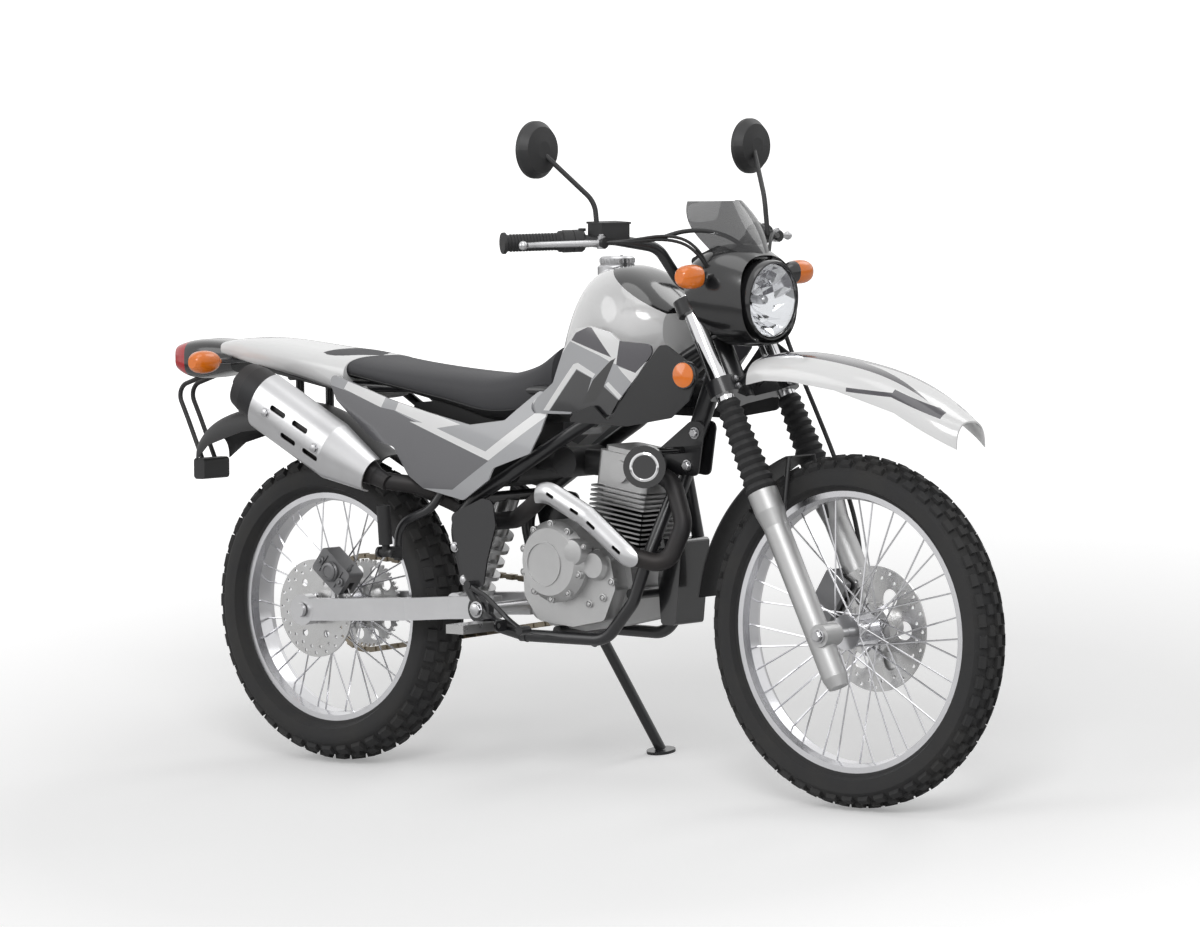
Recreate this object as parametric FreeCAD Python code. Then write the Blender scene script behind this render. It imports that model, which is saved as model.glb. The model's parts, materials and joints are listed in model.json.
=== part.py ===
import FreeCAD, Part
import math
import os

# A dual sport motorcycle, parked on its side stand, in millimetres.
# It is drawn upright first: X forward from the rear axle, Y to the rider's left, Z up from the ground.
# At the end every piece is leaned over onto the stand and set on the floor.

V = FreeCAD.Vector

# Chassis
WHEELBASE = 1360.0
SEAT_HEIGHT = 815.0
RAKE = math.radians(26.6)
TRAIL = 105.0
LEAN = math.radians(8.0)
FORK_OFFSET = 41.0
FORK_HALF_SPACING = 95.0
FRAME_HALF_WIDTH = 90.0
FRAME_REAR_HALF_WIDTH = 108.0
RUNNING_GAP = 0.3
OVERRUN = 5.0

# Wheels
FRONT_TYRE_RADIUS = 343.0
FRONT_TYRE_WIDTH = 82.0
FRONT_CROWN_RADIUS = 46.0
FRONT_RIM_RADIUS = 278.0
FRONT_RIM_WIDTH = 54.0
REAR_TYRE_RADIUS = 322.0
REAR_TYRE_WIDTH = 118.0
REAR_CROWN_RADIUS = 66.0
REAR_RIM_RADIUS = 243.0
REAR_RIM_WIDTH = 70.0
RIM_DEPTH = 22.0
RIM_WALL = 4.0
BEAD_DEPTH = 12.0
SPOKE_DIAMETER = 3.8
SPOKE_PAIRS = 9
HUB_FLANGE_RADIUS = 34.0
HUB_FLANGE_WIDTH = 5.0
HUB_BARREL_RADIUS = 22.0
FRONT_HUB_HALF_WIDTH = 36.0
REAR_HUB_HALF_WIDTH = 42.0
AXLE_DIAMETER = 17.0
FRONT_AXLE_HALF_LENGTH = 130.0
REAR_AXLE_HALF_LENGTH = 132.0
AXLE_NUT_DIAMETER = 30.0
AXLE_NUT_WIDTH = 9.0

# Brakes
DISC_THICKNESS = 4.0
FRONT_DISC_RADIUS = 122.5
FRONT_DISC_SIDE = 60.0
REAR_DISC_RADIUS = 101.5
REAR_DISC_SIDE = 76.0
DISC_BAND = 34.0
CALIPER_LENGTH = 92.0
CALIPER_HEIGHT = 58.0
CALIPER_WIDTH = 44.0
CALIPER_SLOT = 16.0
CALIPER_DEPTH = 40.0

# Chain drive
SPROCKET_RADIUS = 92.0
SPROCKET_THICKNESS = 6.0
DRIVE_SPROCKET_RADIUS = 26.0
CHAIN_SIDE = 82.0
CHAIN_WIDTH = 17.0
CHAIN_HEIGHT = 11.0
CHAIN_CLEARANCE = 1.0

# Frame tubes
MAIN_TUBE = 28.0
DOWN_TUBE = 38.0
CRADLE_TUBE = 25.0
RAIL_TUBE = 22.0
STAY_TUBE = 18.0
TUBE_BEND = 60.0
HEAD_TUBE_DIAMETER = 54.0
HEAD_TUBE_LENGTH = 128.0
HEAD_TUBE_HEIGHT = 912.0
STEM_DIAMETER = 30.0
PIVOT_DIAMETER = 22.0
PIVOT_BOSS_DIAMETER = 56.0
PIVOT_BOSS_WIDTH = 16.0

# Swingarm
ARM_HEIGHT = 46.0
ARM_WIDTH = 26.0
ARM_HALF_SPACING = 107.0
ARM_FRONT_HALF_SPACING = 56.0

# Fork, heights measured along the steering axis from the ground
FORK_TUBE_DIAMETER = 36.0
FORK_LEG_DIAMETER = 50.0
FORK_LEG_COLLAR = 60.0
FORK_LEG_BOTTOM = 252.0
FORK_LEG_TOP = 664.0
BOOT_TOP = 858.0
FORK_TUBE_TOP = 1082.0
CLAMP_LOWER_HEIGHT = 870.0
CLAMP_UPPER_HEIGHT = 1046.0
CLAMP_THICKNESS = 32.0
CLAMP_EYE_DIAMETER = 58.0
CLAMP_STEM_DIAMETER = 62.0
CLAMP_ARM_WIDTH = 44.0
BOOT_LARGE_DIAMETER = 64.0
BOOT_SMALL_DIAMETER = 50.0
BOOT_FOLDS = 11
BOOT_FOLD_DEPTH = 5.0
BOOT_WALL = 3.0
AXLE_LUG_DIAMETER = 44.0

# Handlebar and controls
BAR_DIAMETER = 22.0
BAR_BEND = 55.0
BAR_HALF_WIDTH = 400.0
BAR_CLAMP_HEIGHT = 1112.0
GRIP_DIAMETER = 34.0
GRIP_LENGTH = 118.0
GRIP_END_DIAMETER = 42.0
HOUSING_DIAMETER = 44.0
HOUSING_LENGTH = 46.0
LEVER_THICKNESS = 10.0
LEVER_REACH = 62.0
LEVER_LENGTH = 165.0
LEVER_BALL = 18.0
MIRROR_DIAMETER = 112.0
MIRROR_DEPTH = 26.0
MIRROR_STEM_DIAMETER = 10.0
HEADLIGHT_DIAMETER = 158.0
HEADLIGHT_DEPTH = 92.0
INDICATOR_LENGTH = 74.0
INDICATOR_HEIGHT = 46.0
INDICATOR_DEPTH = 44.0
INDICATOR_STEM = 12.0
SHEET_THICKNESS = 3.0
PANEL_THICKNESS = 4.0

# Engine
CASE_HALF_WIDTH = 74.0
CASE_LEFT_WIDTH = 62.0
COVER_OUTER = 150.0
CLUTCH_COVER_RADIUS = 82.0
STATOR_COVER_RADIUS = 70.0
STATOR_COVER_OUTER = 132.0
CYLINDER_HALF_LENGTH = 72.0
CYLINDER_HALF_WIDTH = 70.0
BARREL_RADIUS = 50.0
FIN_COUNT = 8
FIN_THICKNESS = 3.4
FIN_PITCH = 9.5
HEAD_FIN_COUNT = 4
HEAD_HALF_WIDTH = 62.0
HEAD_HALF_LENGTH = 66.0
HEAD_BLOCK_HEIGHT = 78.0
CYLINDER_TILT = math.radians(8.0)
CORNER_RADIUS = 14.0

# Exhaust
HEADER_DIAMETER = 36.0
HEADER_BEND = 48.0
MUFFLER_HALF_HEIGHT = 54.0
MUFFLER_HALF_WIDTH = 46.0
MUFFLER_SIDE = 168.0
GUARD_GAP = 6.0
GUARD_THICKNESS = 2.5

# Bodywork
TANK_HALF_WIDTH = 122.0
SEAT_HALF_WIDTH = 104.0
PANEL_HALF_WIDTH = 150.0
SHROUD_HALF_WIDTH = 168.0
COVER_HALF_WIDTH = 146.0
FENDER_HALF_WIDTH = 84.0
TAIL_HALF_WIDTH = 118.0
AIR_BOX_HALF_WIDTH = 68.0
CAP_DIAMETER = 74.0
CAP_HEIGHT = 18.0

# Stand and pegs
STAND_DIAMETER = 22.0
STAND_LENGTH = 285.0
STAND_FOOT_RADIUS = 30.0
STAND_FOOT_THICKNESS = 6.0
STAND_PIVOT_DIAMETER = 34.0
STAND_SWING = 106.0
PEG_LENGTH = 92.0
PEG_WIDTH = 46.0
PEG_HEIGHT = 18.0
PEG_PIN_DIAMETER = 10.0
PEG_SIDE = 152.0
PASSENGER_PEG_LENGTH = 96.0
PASSENGER_PEG_DIAMETER = 28.0
PASSENGER_PEG_SIDE = 160.0

UP = V(0, 0, 1)
ACROSS = V(0, 1, 0)
ORIGIN = V(0, 0, 0)
AXIS_GROUND_X = WHEELBASE + TRAIL
RUN_SHARE = 0.45

# Shares and counts that pieces are shaped by
REAR_CALIPER_SHARES = (0.62, 0.8)
FRONT_CALIPER_SHARES = (-0.82, 0.5)
MUFFLER_SQUARENESS = 2.2
MIDDLE_SHARE = 0.5
LOOP_POINTS = 20
FULL_TURN = 360
PANEL_BOSS_ROOT_SHARE = 0.5
SHROUD_BOSS_ROOT_SHARE = 0.86
SIDE_BOSS_ROOT_SHARE = 0.5
TAIL_SQUARENESS = 3.2
LAMP_SQUARENESS = 2.4
INDICATOR_POINTS = 14
FORK_LEG_SHARES = (0.8, 0.05, 0.82, 0.9)
LEVER_DROP_SHARE = 0.5
MIRROR_HEAD_SHARES = ((0, 0), (1, 0), (1, 0.3), (0.8, 0.85), (0.3, 1), (0, 1))
LAMP_SHELL_SHARES = ((0, 0), (1, 0), (1, 0.35), (0.72, 0.8), (0.4, 1), (0, 1))
LAMP_DIP_SHARE = 0.06
COWL_SHIFT_SHARES = (-0.01, 0, 0, 0.01)
COWL_ROOT_SHARE = 0.8
BRACE_SHARE = 0.84
STRUT_SHARE = 0.8
STAND_AWAY_SHARES = (-1, 0.1, 0.14)
PASSENGER_PIVOT_SHARES = (0.203, 0.56)
SHIELD_FIRST, SHIELD_LAST = 2, 9

# Placing: places, shares and small sizes
AXLE_FORWARD = FRONT_TYRE_RADIUS * math.sin(RAKE) - TRAIL * math.cos(RAKE)
AXLE_HEIGHT = FRONT_TYRE_RADIUS * math.cos(RAKE) + TRAIL * math.sin(RAKE)
FRONT_AXLE = V(WHEELBASE, 0, FRONT_TYRE_RADIUS)
REAR_AXLE = V(0, 0, REAR_TYRE_RADIUS)

# Frame: places, shares and small sizes
DOWN_SHARES = ((0.757, 0, 1.068, 0), (0.668, 0, 0.715, 0))
CRADLE_SHARES = ((0.683, 0.12, 0.77, 0), (0.664, 0.94, 0.572, 0), (0.641, 1.0, 0.466, 0), (0.59, 1.0, 0.37, 0.1),
                 (0.436, 1.0, 0.37, 1.0))
MAIN_SHARES = ((0.747, 0.2, 1.1, 0), (0.546, 0.98, 0.892, 0), (0.346, 1.0, 0.702, 0.8), (0.308, 1.0, 0.638, 1.0),
               (0.332, 1.0, 0.49, 1.0), (0.375, 1.0, 0.395, 1.0), (0.45, 1.0, 0.37, 0.94))
RAIL_SHARES = ((0.6, 0.84, 0.945, 0), (0.471, 0.94, 0.972, 0), (0.06, 0.94, 0.965, 0), (-0.11, 0.82, 1.012, 0))
STAY_SHARES = ((0.32, 1.0, 0.694, 0.8), (0.06, 0.94, 0.96, 0))
PIVOT_SHARES = (0.357, 0.427)
REAR_CROSS_SHARES = (-0.1, 1.009, 0.82)
SEAT_CROSS_SHARES = (0.44, 0.972, 0.94)
SHOCK_CROSS_SHARES = (0.346, 0.7, 1.16)
CANISTER_CROSS_SHARES = (0.663, 0.585, 0.9)
ENGINE_CROSSES_SHARES = ((0.635, 0.485, 0.98), (0.5, 0.384, 1.1))
FENDER_POST_SHARES = (-0.05, 0.5, 0.9, 0.985)
CROSS_TUBE = 18.0
HANGER_SHARES = ((0.708, 0.905), (0.735, 0.905), (0.722, 0.771), (0.645, 0.785), (0.645, 0.83))
HANGER_BOLT_SHARES = (0.654, 0.807, 0.3)
EAR_HALF_GAP = 15.0
EAR_THICKNESS = 6.0
EAR_RADIUS = 11.0
EAR_ROOT_WIDTH = 14.0
STAND_BOLT_DIAMETER = 14.0
PEG_X_SHARE = 0.405
PEG_Z_SHARE = 0.395

# Swingarm with its pivot shaft and the rear axle: places, shares and small sizes
ARM_SHARES = ((0.357, 0.0), (0.27, 0.1), (0.21, 0.95), (0.0, 1.0))
SHOCK_SHARES = ((0.346, 0.7), (0.272, 0.43))
SHOCK_BODY_DIAMETER = 44.0
SPRING_DIAMETER = 70.0
SPRING_WIRE = 11.0
SPRING_TURNS = 6

# Wheels, drawn round the origin with the axle along Y: places, shares and small sizes
LUG_COUNT = 32
LUG_HEIGHT = 8.0
LUG_ROOT = 4.0
LUG_SHOULDER_TILT = 38
LUG_ROW_SHARES = ((0, 0.56, 0.3, 0), (1, 0.5, 0.2, 0.5), (-1, 0.5, 0.2, 0.5))
CROWN_SHARE = 0.86
SWELL_SHARE = 0.55
RIM_WELL_SHARE = 0.5
LACE_TURN = math.radians(62)
SPOKE_SIDES = 5
DISC_HOLES = 20
DISC_HOLE_DIAMETER = 7.0
DISC_HOLE_SHARES = (0.25, 0.62)
DISC_ARMS = 6
SPROCKET_TEETH = 48
SPROCKET_WINDOWS = 10
SPROCKET_WINDOW_SHARE = 0.72
TOOTH_SHARES = (0.0, 0.3, 0.5, 0.8)
TOOTH_ROOT_SHARE = 0.93
SPROCKET_HUB_RADIUS = 52.0

# Chain: one loop over both sprockets: places, shares and small sizes
DRIVE_SHARES = (0.43, 0.432)
CHAIN_PITCH = 15.875
INNER_LINK_SHARE = 0.72
LINK_LAP_SHARE = 1.12

# Engine: places, shares and small sizes
CASE_SHARES = ((0.437, 0.555), (0.434, 0.46), (0.47, 0.395), (0.54, 0.386), (0.606, 0.41), (0.632, 0.50),
               (0.622, 0.585), (0.6, 0.603), (0.44, 0.603))
CLUTCH_SHARES = (0.516, 0.56)
STATOR_SHARES = (0.535, 0.53)
CYLINDER_FOOT_SHARES = (0.588, 0.6)
FIN_ROUND = 8.0
PLUG_DIAMETER = 44.0
COVER_FACE_SHARE = 0.82
COVER_RIM_SHARE = 0.72
COVER_SHARES = ((0.445, 0.54), (0.447, 0.47), (0.475, 0.41), (0.54, 0.4), (0.6, 0.42), (0.622, 0.50),
                (0.612, 0.575), (0.59, 0.595), (0.45, 0.585))
COVER_BASE = 40.0
FILTER_SHARES = (0.59, 0.555)
FILTER_RADIUS = 30.0
FILTER_STEP = 18.0
STATOR_BASE_SHARES = ((0.478, 0.56), (0.478, 0.42), (0.54, 0.4), (0.6, 0.42), (0.622, 0.50),
                      (0.612, 0.575), (0.59, 0.595))
CYLINDER_HEIGHT = FIN_COUNT * FIN_PITCH
HEAD_HEIGHT = HEAD_FIN_COUNT * FIN_PITCH + HEAD_BLOCK_HEIGHT
THROTTLE_SHARES = ((0.565, 0.79), (0.41, 0.8))
THROTTLE_DIAMETER = 52.0
AIR_BOX_SHARES = ((0.41, 0.9), (0.41, 0.745), (0.36, 0.725), (0.2, 0.8), (0.2, 0.93), (0.3, 0.94))

# Exhaust: places, shares and small sizes
HEADER_SHARES = ((0.65, -0.52, 0.79), (0.7, -0.66, 0.757), (0.727, -0.8, 0.66), (0.708, -1.05, 0.56),
                 (0.665, -1.5, 0.585), (0.59, -1.52, 0.675), (0.51, -1.5, 0.735), (0.46, -1.2, 0.69),
                 (0.405, -0.78, 0.65), (0.345, -0.7, 0.64), (0.285, -0.85, 0.685), (0.24, -1.35, 0.728),
                 (0.2, -1.83, 0.74))
SHIELD_SHARES = ((0.703, 0.5), (0.705, 0.62), (0.62, 0.8), (0.5, 0.82), (0.49, 0.7), (0.6, 0.5))
SHIELD_BOLT_SHARES = ((0.6275, 0.63), (0.55, 0.705))
SHIELD_SLOT_SHARES = (((0.66, 0.592), (0.645, 0.609)), ((0.613, 0.648), (0.598, 0.665)),
                      ((0.582, 0.682), (0.566, 0.694)), ((0.534, 0.718), (0.52, 0.729)))
SHIELD_GAP = 5.0
SHIELD_BOLT = 10.0
SHIELD_COVER_SHARE = 0.3
SHIELD_SLOT = 7.0
HEADER_SIDE = -1.51
MUFFLER_SHARES = ((0.213, 0.735, 0.3), (0.19, 0.75, 0.36), (0.112, 0.808, 1.0), (-0.06, 0.952, 1.0),
                  (-0.078, 0.967, 0.9))
OUTLET_DIAMETER = 34.0
OUTLET_LENGTH = 22.0
GUARD_SHARES = ((0.185, 0.753, 0.55), (0.112, 0.808, 1.0), (-0.03, 0.927, 1.0))
GUARD_SLOT = 11.0
GUARD_SLOT_SHARES = (((0.085, 0.858), (0.055, 0.882)), ((0.04, 0.894), (0.01, 0.918)),
                     ((0.105, 0.79), (0.075, 0.814)), ((0.06, 0.826), (0.03, 0.85)))
GUARD_BOLT_SHARES = ((0.1, 0.818), (0.0, 0.902))

# Bodywork: places, shares and small sizes
TANK_SHARES = ((0.478, 0.98, 1.045, 0.42), (0.498, 0.985, 1.13, 0.56), (0.525, 0.985, 1.225, 0.7),
               (0.56, 0.99, 1.272, 0.86), (0.61, 1.0, 1.275, 1.0), (0.655, 1.03, 1.235, 0.92),
               (0.69, 1.075, 1.185, 0.6))
TANK_SQUARENESS = 2.5
TANK_MIDDLE_SHARE = 0.45
CAP_SHARES = (0.56, 1.262)
SEAT_SHARES = ((0.478, 0.9, 1.075, 0.62), (0.44, 0.885, 1.03, 0.75), (0.37, 0.89, 1.003, 0.9),
               (0.28, 0.92, 1.005, 1.0), (0.15, 0.965, 1.022, 1.04), (0.05, 0.995, 1.045, 0.98),
               (0.02, 1.01, 1.05, 0.9))
SEAT_SQUARENESS = 3.0
PANEL_X_SHARES = (0.43, 0.53, 0.62, 0.76)
PANEL_Z_SHARES = (0.88, 1.0, 1.12, 1.26)
PANEL_WIDTH_SHARES = ((0.72, 0.7, 0.66, 0.5), (0.9, 0.92, 0.9, 0.72), (1.0, 1.02, 1.0, 0.84),
                      (1.0, 1.04, 1.02, 0.9))
PANEL_SHARES = ((0.443, 0.918), (0.519, 0.996), (0.543, 1.077), (0.568, 1.131), (0.601, 1.137), (0.642, 1.123),
                (0.659, 1.104), (0.731, 1.098), (0.694, 1.023), (0.656, 0.96), (0.64, 0.925))
BOSS_DIAMETER = 14.0
PANEL_BOSS_SHARES = ((0.58, 1.06), (0.64, 1.06))
SHROUD_BOSS_SHARES = ((0.6, 0.922), (0.72, 1.0))
SIDE_BOSS_SHARES = ((0.12, 0.96), (0.44, 0.86))
SHROUD_X_SHARES = (0.54, 0.64, 0.72, 0.83)
SHROUD_Z_SHARES = (0.88, 0.96, 1.04, 1.12)
SHROUD_WIDTH_SHARES = ((0.88, 0.9, 0.9, 0.88), (0.96, 0.97, 0.98, 0.97), (0.98, 1.0, 1.0, 0.98),
                       (0.93, 0.95, 0.96, 0.95))
SHROUD_SHARES = ((0.557, 0.904), (0.571, 0.926), (0.61, 0.948), (0.64, 0.908), (0.647, 0.925), (0.74, 1.097),
                 (0.753, 1.098), (0.812, 1.04), (0.793, 0.968), (0.76, 0.924), (0.677, 0.9), (0.641, 0.906))
SIDE_X_SHARES = (0.04, 0.2, 0.36, 0.52)
SIDE_Z_SHARES = (0.7, 0.82, 0.92, 1.03)
SIDE_WIDTH_SHARES = ((0.9, 0.92, 0.9, 0.84), (0.98, 1.0, 0.98, 0.86), (1.0, 1.0, 0.94, 0.76),
                     (0.96, 0.94, 0.84, 0.6))
SIDE_SHARES = ((0.062, 1.004), (0.088, 0.934), (0.139, 0.874), (0.169, 0.838), (0.21, 0.824), (0.239, 0.755),
               (0.269, 0.724), (0.349, 0.699), (0.399, 0.752), (0.408, 0.782), (0.476, 0.821), (0.493, 0.875),
               (0.5, 0.917), (0.488, 0.985), (0.425, 0.9), (0.36, 0.886), (0.28, 0.912), (0.2, 0.942),
               (0.12, 0.979))
TAIL_SHARES = ((0.09, 0.93, 1.04, 1.0), (0.0, 0.97, 1.055, 0.96), (-0.1, 1.0, 1.072, 0.84), (-0.17, 1.02, 1.076, 0.7),
               (-0.2, 1.03, 1.07, 0.6))
REAR_FENDER_SHARES = ((0.12, 0.79, 0.9), (0.03, 0.86, 0.96), (-0.08, 0.915, 1.0), (-0.16, 0.9, 0.96),
                      (-0.24, 0.86, 0.8), (-0.27, 0.82, 0.7))
REAR_FENDER_HALF_WIDTH = 74.0
FENDER_SQUARENESS = 2.6
FENDER_DEPTH = 52.0
TAIL_LIGHT_SHARES = ((-0.19, 0.985, 1.06, 0.9), (-0.24, 0.972, 1.07, 1.0), (-0.29, 0.97, 1.066, 0.94),
                     (-0.315, 0.985, 1.056, 0.78))
TAIL_LIGHT_SQUARENESS = 3.6
TAIL_LIGHT_HALF_WIDTH = 62.0
REFLECTOR_SHARES = ((-0.262, 0.76), (-0.262, 0.705), (-0.285, 0.705), (-0.285, 0.76))
REFLECTOR_HALF_WIDTH = 38.0
PLATE_STAY_SHARES = ((-0.27, 0.975), (-0.335, 0.94), (-0.31, 0.86), (-0.275, 0.74))
PLATE_STAY_WIDTH = 10.0
INDICATOR_SHARES = ((0.0, 0.5), (0.15, 0.8), (0.4, 1.0), (0.8, 0.92), (1.0, 0.5))
REAR_INDICATOR_SHARES = (-0.175, 1.02)
REAR_INDICATOR_SIDE = 118.0
FRONT_INDICATOR_SHARES = (0.8, 1.262)
FRONT_INDICATOR_SIDE = 128.0
REAR_CALIPER_TILT = 38
FRONT_CALIPER_TILT = -58
PEDAL_SHARES = ((0.357, 1.61, 0.49), (0.372, 1.57, 0.475), (0.385, 1.52, 0.465), (0.43, 1.52, 0.41),
                (0.475, 1.85, 0.39))
LEVER_SHARES = ((0.49, 0.44), (0.56, 0.43))
HEEL_SHARES = ((0.315, 0.66), (0.378, 0.705), (0.398, 0.7), (0.404, 0.64), (0.386, 0.55), (0.378, 0.48),
               (0.343, 0.5), (0.325, 0.6))
HEEL_BOLT_SHARES = ((0.322, 0.58), (0.34, 0.5))
HORN_SHARES = (0.684, -1.36, 0.8)
HORN_BRACKET_SHARE = 0.34
HORN_FACING = V(0.55, -0.83, 0)
HORN_DIAMETER = 84.0
HORN_DEPTH = 24.0
CANISTER_SHARES = ((0.667, 0.62), (0.705, 0.62), (0.698, 0.5), (0.692, 0.41), (0.665, 0.41), (0.66, 0.52))
CANISTER_HALF_WIDTH = 44.0

# Steering: places, shares and small sizes
BRACE_FORWARD = 120.0
BRACE_HEIGHT = 912.0
BAR_FORWARD = 22.0
RISER_HALF_SPACING = 30.0
RISER_DIAMETER = 26.0
BAR_SWEEP = 172.0
BAR_RISE = 92.0
BAR_PLACE_SHARES = ((0.0, 0.17, 0.0), (-0.06, 0.33, 0.86), (-0.3, 0.54, 1.04), (-1.0, 1.0, 1.0))
MIRROR_SIDE = 330.0
MIRROR_SHARES = (0.612, 1.565)
MIRROR_KNEE_SHARES = (0.682, 1.44)
HEADLIGHT_SHARES = (0.852, 1.2)
LAMP_ARM_HEIGHT = 990.0
COWL_SHARES = ((0.735, 1.14, 1.27, 0.95), (0.77, 1.1, 1.33, 1.0), (0.81, 1.09, 1.33, 0.9), (0.845, 1.095, 1.3, 0.74))
COWL_HALF_WIDTH = 118.0
COWL_WALL_SHARE = 0.006
SCREEN_SHARES = ((0.838, 1.3, 0.62), (0.826, 1.335, 0.86), (0.806, 1.385, 1.0), (0.784, 1.438, 0.7))
SCREEN_HALF_WIDTH = 104.0
SCREEN_BOW = 60.0
SCREEN_ACROSS_SHARES = (-1, -0.6, -0.2, 0.2, 0.6, 1)
INSTRUMENT_SHARES = ((0.74, 1.3), (0.785, 1.33), (0.792, 1.285), (0.75, 1.25))
INSTRUMENT_HALF_WIDTH = 68.0
FRONT_FENDER_SHARES = ((0.845, 1.066, 0.9), (0.88, 1.078, 0.96), (0.93, 1.078, 1.0), (1.01, 1.06, 1.0),
                       (1.11, 1.012, 0.92), (1.18, 0.95, 0.72), (1.202, 0.93, 0.55))
MUDGUARD_RADIUS = 360.0
MUDGUARD_HALF_WIDTH = 46.0
MUDGUARD_START = 112.0
MUDGUARD_END = 172.0

# Side stand and pegs: places, shares and small sizes
STAND_PIVOT_SHARES = (0.434, 1.54, 0.35)
STAND_FORWARD_SHARE = 0.2
STAND_TIP_SIDE = 262.0
LIFT = max(FRONT_TYRE_WIDTH, REAR_TYRE_WIDTH) * LUG_ROW_SHARES[0][2] / 2 * math.sin(LEAN)
PASSENGER_ROOT_SHARES = (0.2888, 0.726)
PASSENGER_SHARES = ((0.27, 0.67), (0.205, 0.63), (0.203, 0.538))
PASSENGER_BRACKET_SIDE = 124.0
PASSENGER_PEG_OUT_SHARE = 0.08


# Placing

def spot(x_share, side, z_share):
    """A place in the frame: shares of the wheelbase and of the seat height."""
    return V(x_share * WHEELBASE, side, z_share * SEAT_HEIGHT)


def spots(table, half_width, hand=1):
    """Places from rows of shares, on the left for hand 1 and on the right for hand -1."""
    return [spot(x, hand * y * half_width, z) for x, y, z in table]


def frame_spots(table, hand=1):
    """Frame tube places; each row says how far it has spread from the front width to the rear one."""
    spread = FRAME_REAR_HALF_WIDTH - FRAME_HALF_WIDTH
    return [spot(x, hand * y * (FRAME_HALF_WIDTH + wide * spread), z) for x, y, z, wide in table]


def profile(table):
    """An outline in the middle plane, from rows of shares of the wheelbase and seat height."""
    return [spot(x, 0, z) for x, z in table]


def steer(forward, side, height):
    """A place measured from the steering axis: ahead of it, to its left and along it from the ground."""
    return V(AXIS_GROUND_X + forward * math.cos(RAKE) - height * math.sin(RAKE), side,
             forward * math.sin(RAKE) + height * math.cos(RAKE))


def unit(vector):
    copy = V(vector)
    copy.normalize()
    return copy


AXIS_UP = unit(steer(0, 0, WHEELBASE) - steer(0, 0, 0))
AXIS_FORWARD = unit(steer(WHEELBASE, 0, 0) - steer(0, 0, 0))


# Shapes

def rod(start, end, diameter):
    axis = end - start
    return Part.makeCylinder(diameter / 2, axis.Length, start, axis)


def joined(shapes):
    first, rest = shapes[0], shapes[1:]
    return first.fuse(rest).removeSplitter() if rest else first


def beside(shape):
    """The same shape on the other side of the machine."""
    return shape.mirror(ORIGIN, ACROSS)


def both(shape):
    return [shape, beside(shape)]


def bent_path(points, bend):
    """Straight runs joined by tangent arcs, each as large as its runs allow, up to the bend radius."""
    edges, here = [], points[0]
    for before, corner, after in zip(points, points[1:], points[2:]):
        back, on = before - corner, after - corner
        half_turn = (math.pi - back.getAngle(on)) / 2
        reach = min(bend * math.tan(half_turn), RUN_SHARE * min(back.Length, on.Length))
        radius = reach / math.tan(half_turn)
        start, end = corner + unit(back) * reach, corner + unit(on) * reach
        inward = unit(unit(back) + unit(on))
        middle = corner + inward * (radius / math.cos(half_turn) - radius)
        edges.append(Part.LineSegment(here, start).toShape())
        edges.append(Part.Arc(start, middle, end).toShape())
        here = end
    edges.append(Part.LineSegment(here, points[-1]).toShape())
    return Part.Wire(edges)


def tube(points, diameter, bend):
    ring = Part.Wire(Part.makeCircle(diameter / 2, points[0], unit(points[1] - points[0])))
    return bent_path(points, bend).makePipe(Part.Face(ring))


def smooth_loop(points):
    curve = Part.BSplineCurve()
    curve.interpolate(points, PeriodicFlag=True)
    return Part.Wire(curve.toShape())


def rounded_loop(points, radius):
    """A closed outline with straight sides and round corners."""
    edges, ends = [], []
    count = len(points)
    for index, corner in enumerate(points):
        back, on = points[index - 1] - corner, points[(index + 1) % count] - corner
        half_turn = (math.pi - back.getAngle(on)) / 2
        reach = min(radius * math.tan(half_turn), RUN_SHARE * min(back.Length, on.Length))
        fillet = reach / math.tan(half_turn)
        start, end = corner + unit(back) * reach, corner + unit(on) * reach
        inward = unit(unit(back) + unit(on))
        middle = corner + inward * (fillet / math.cos(half_turn) - fillet)
        ends.append((start, middle, end))
    for index, (start, middle, end) in enumerate(ends):
        edges.append(Part.LineSegment(ends[index - 1][2], start).toShape())
        edges.append(Part.Arc(start, middle, end).toShape())
    return Part.Wire(edges)


def plate(points, side, width, radius):
    """A flat plate from an outline in the middle plane, from one side place over a width."""
    face = Part.Face(rounded_loop([point + V(0, side, 0) for point in points], radius))
    return face.extrude(V(0, width, 0))


def section(centre, across, up, half_width, rise, drop, squareness, base_squareness, count=LOOP_POINTS):
    """A closed oval section, squarer or rounder above and below its centre."""
    points = []
    for index in range(count):
        angle = 2 * math.pi * index / count
        sine, cosine = math.sin(angle), math.cos(angle)
        power = squareness if sine >= 0 else base_squareness
        reach = rise if sine >= 0 else drop
        wide = math.copysign(abs(cosine) ** (2 / power), cosine) * half_width
        high = math.copysign(abs(sine) ** (2 / power), sine) * reach
        points.append(centre + across * wide + up * high)
    return smooth_loop(points)


def loft(loops, ruled=False):
    return Part.makeLoft(loops, True, ruled)


def bowed_sheet(x_shares, z_shares, half_width, width_shares, thickness):
    """A sheet on the left that bows out to shares of a half width, thickened inwards."""
    rows = [[spot(x, half_width * share, z) for z, share in zip(z_shares, row)]
            for x, row in zip(x_shares, width_shares)]
    surface = Part.BSplineSurface()
    surface.interpolate(rows)
    return surface.toShape().extrude(V(0, -thickness, 0))


def cut_panel(sheet, outline, radius):
    """The part of a sheet that lies inside an outline."""
    span = sheet.BoundBox
    side = span.YMin - OVERRUN
    return sheet.common(plate(outline, side, span.YLength + 2 * OVERRUN, radius))


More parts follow.
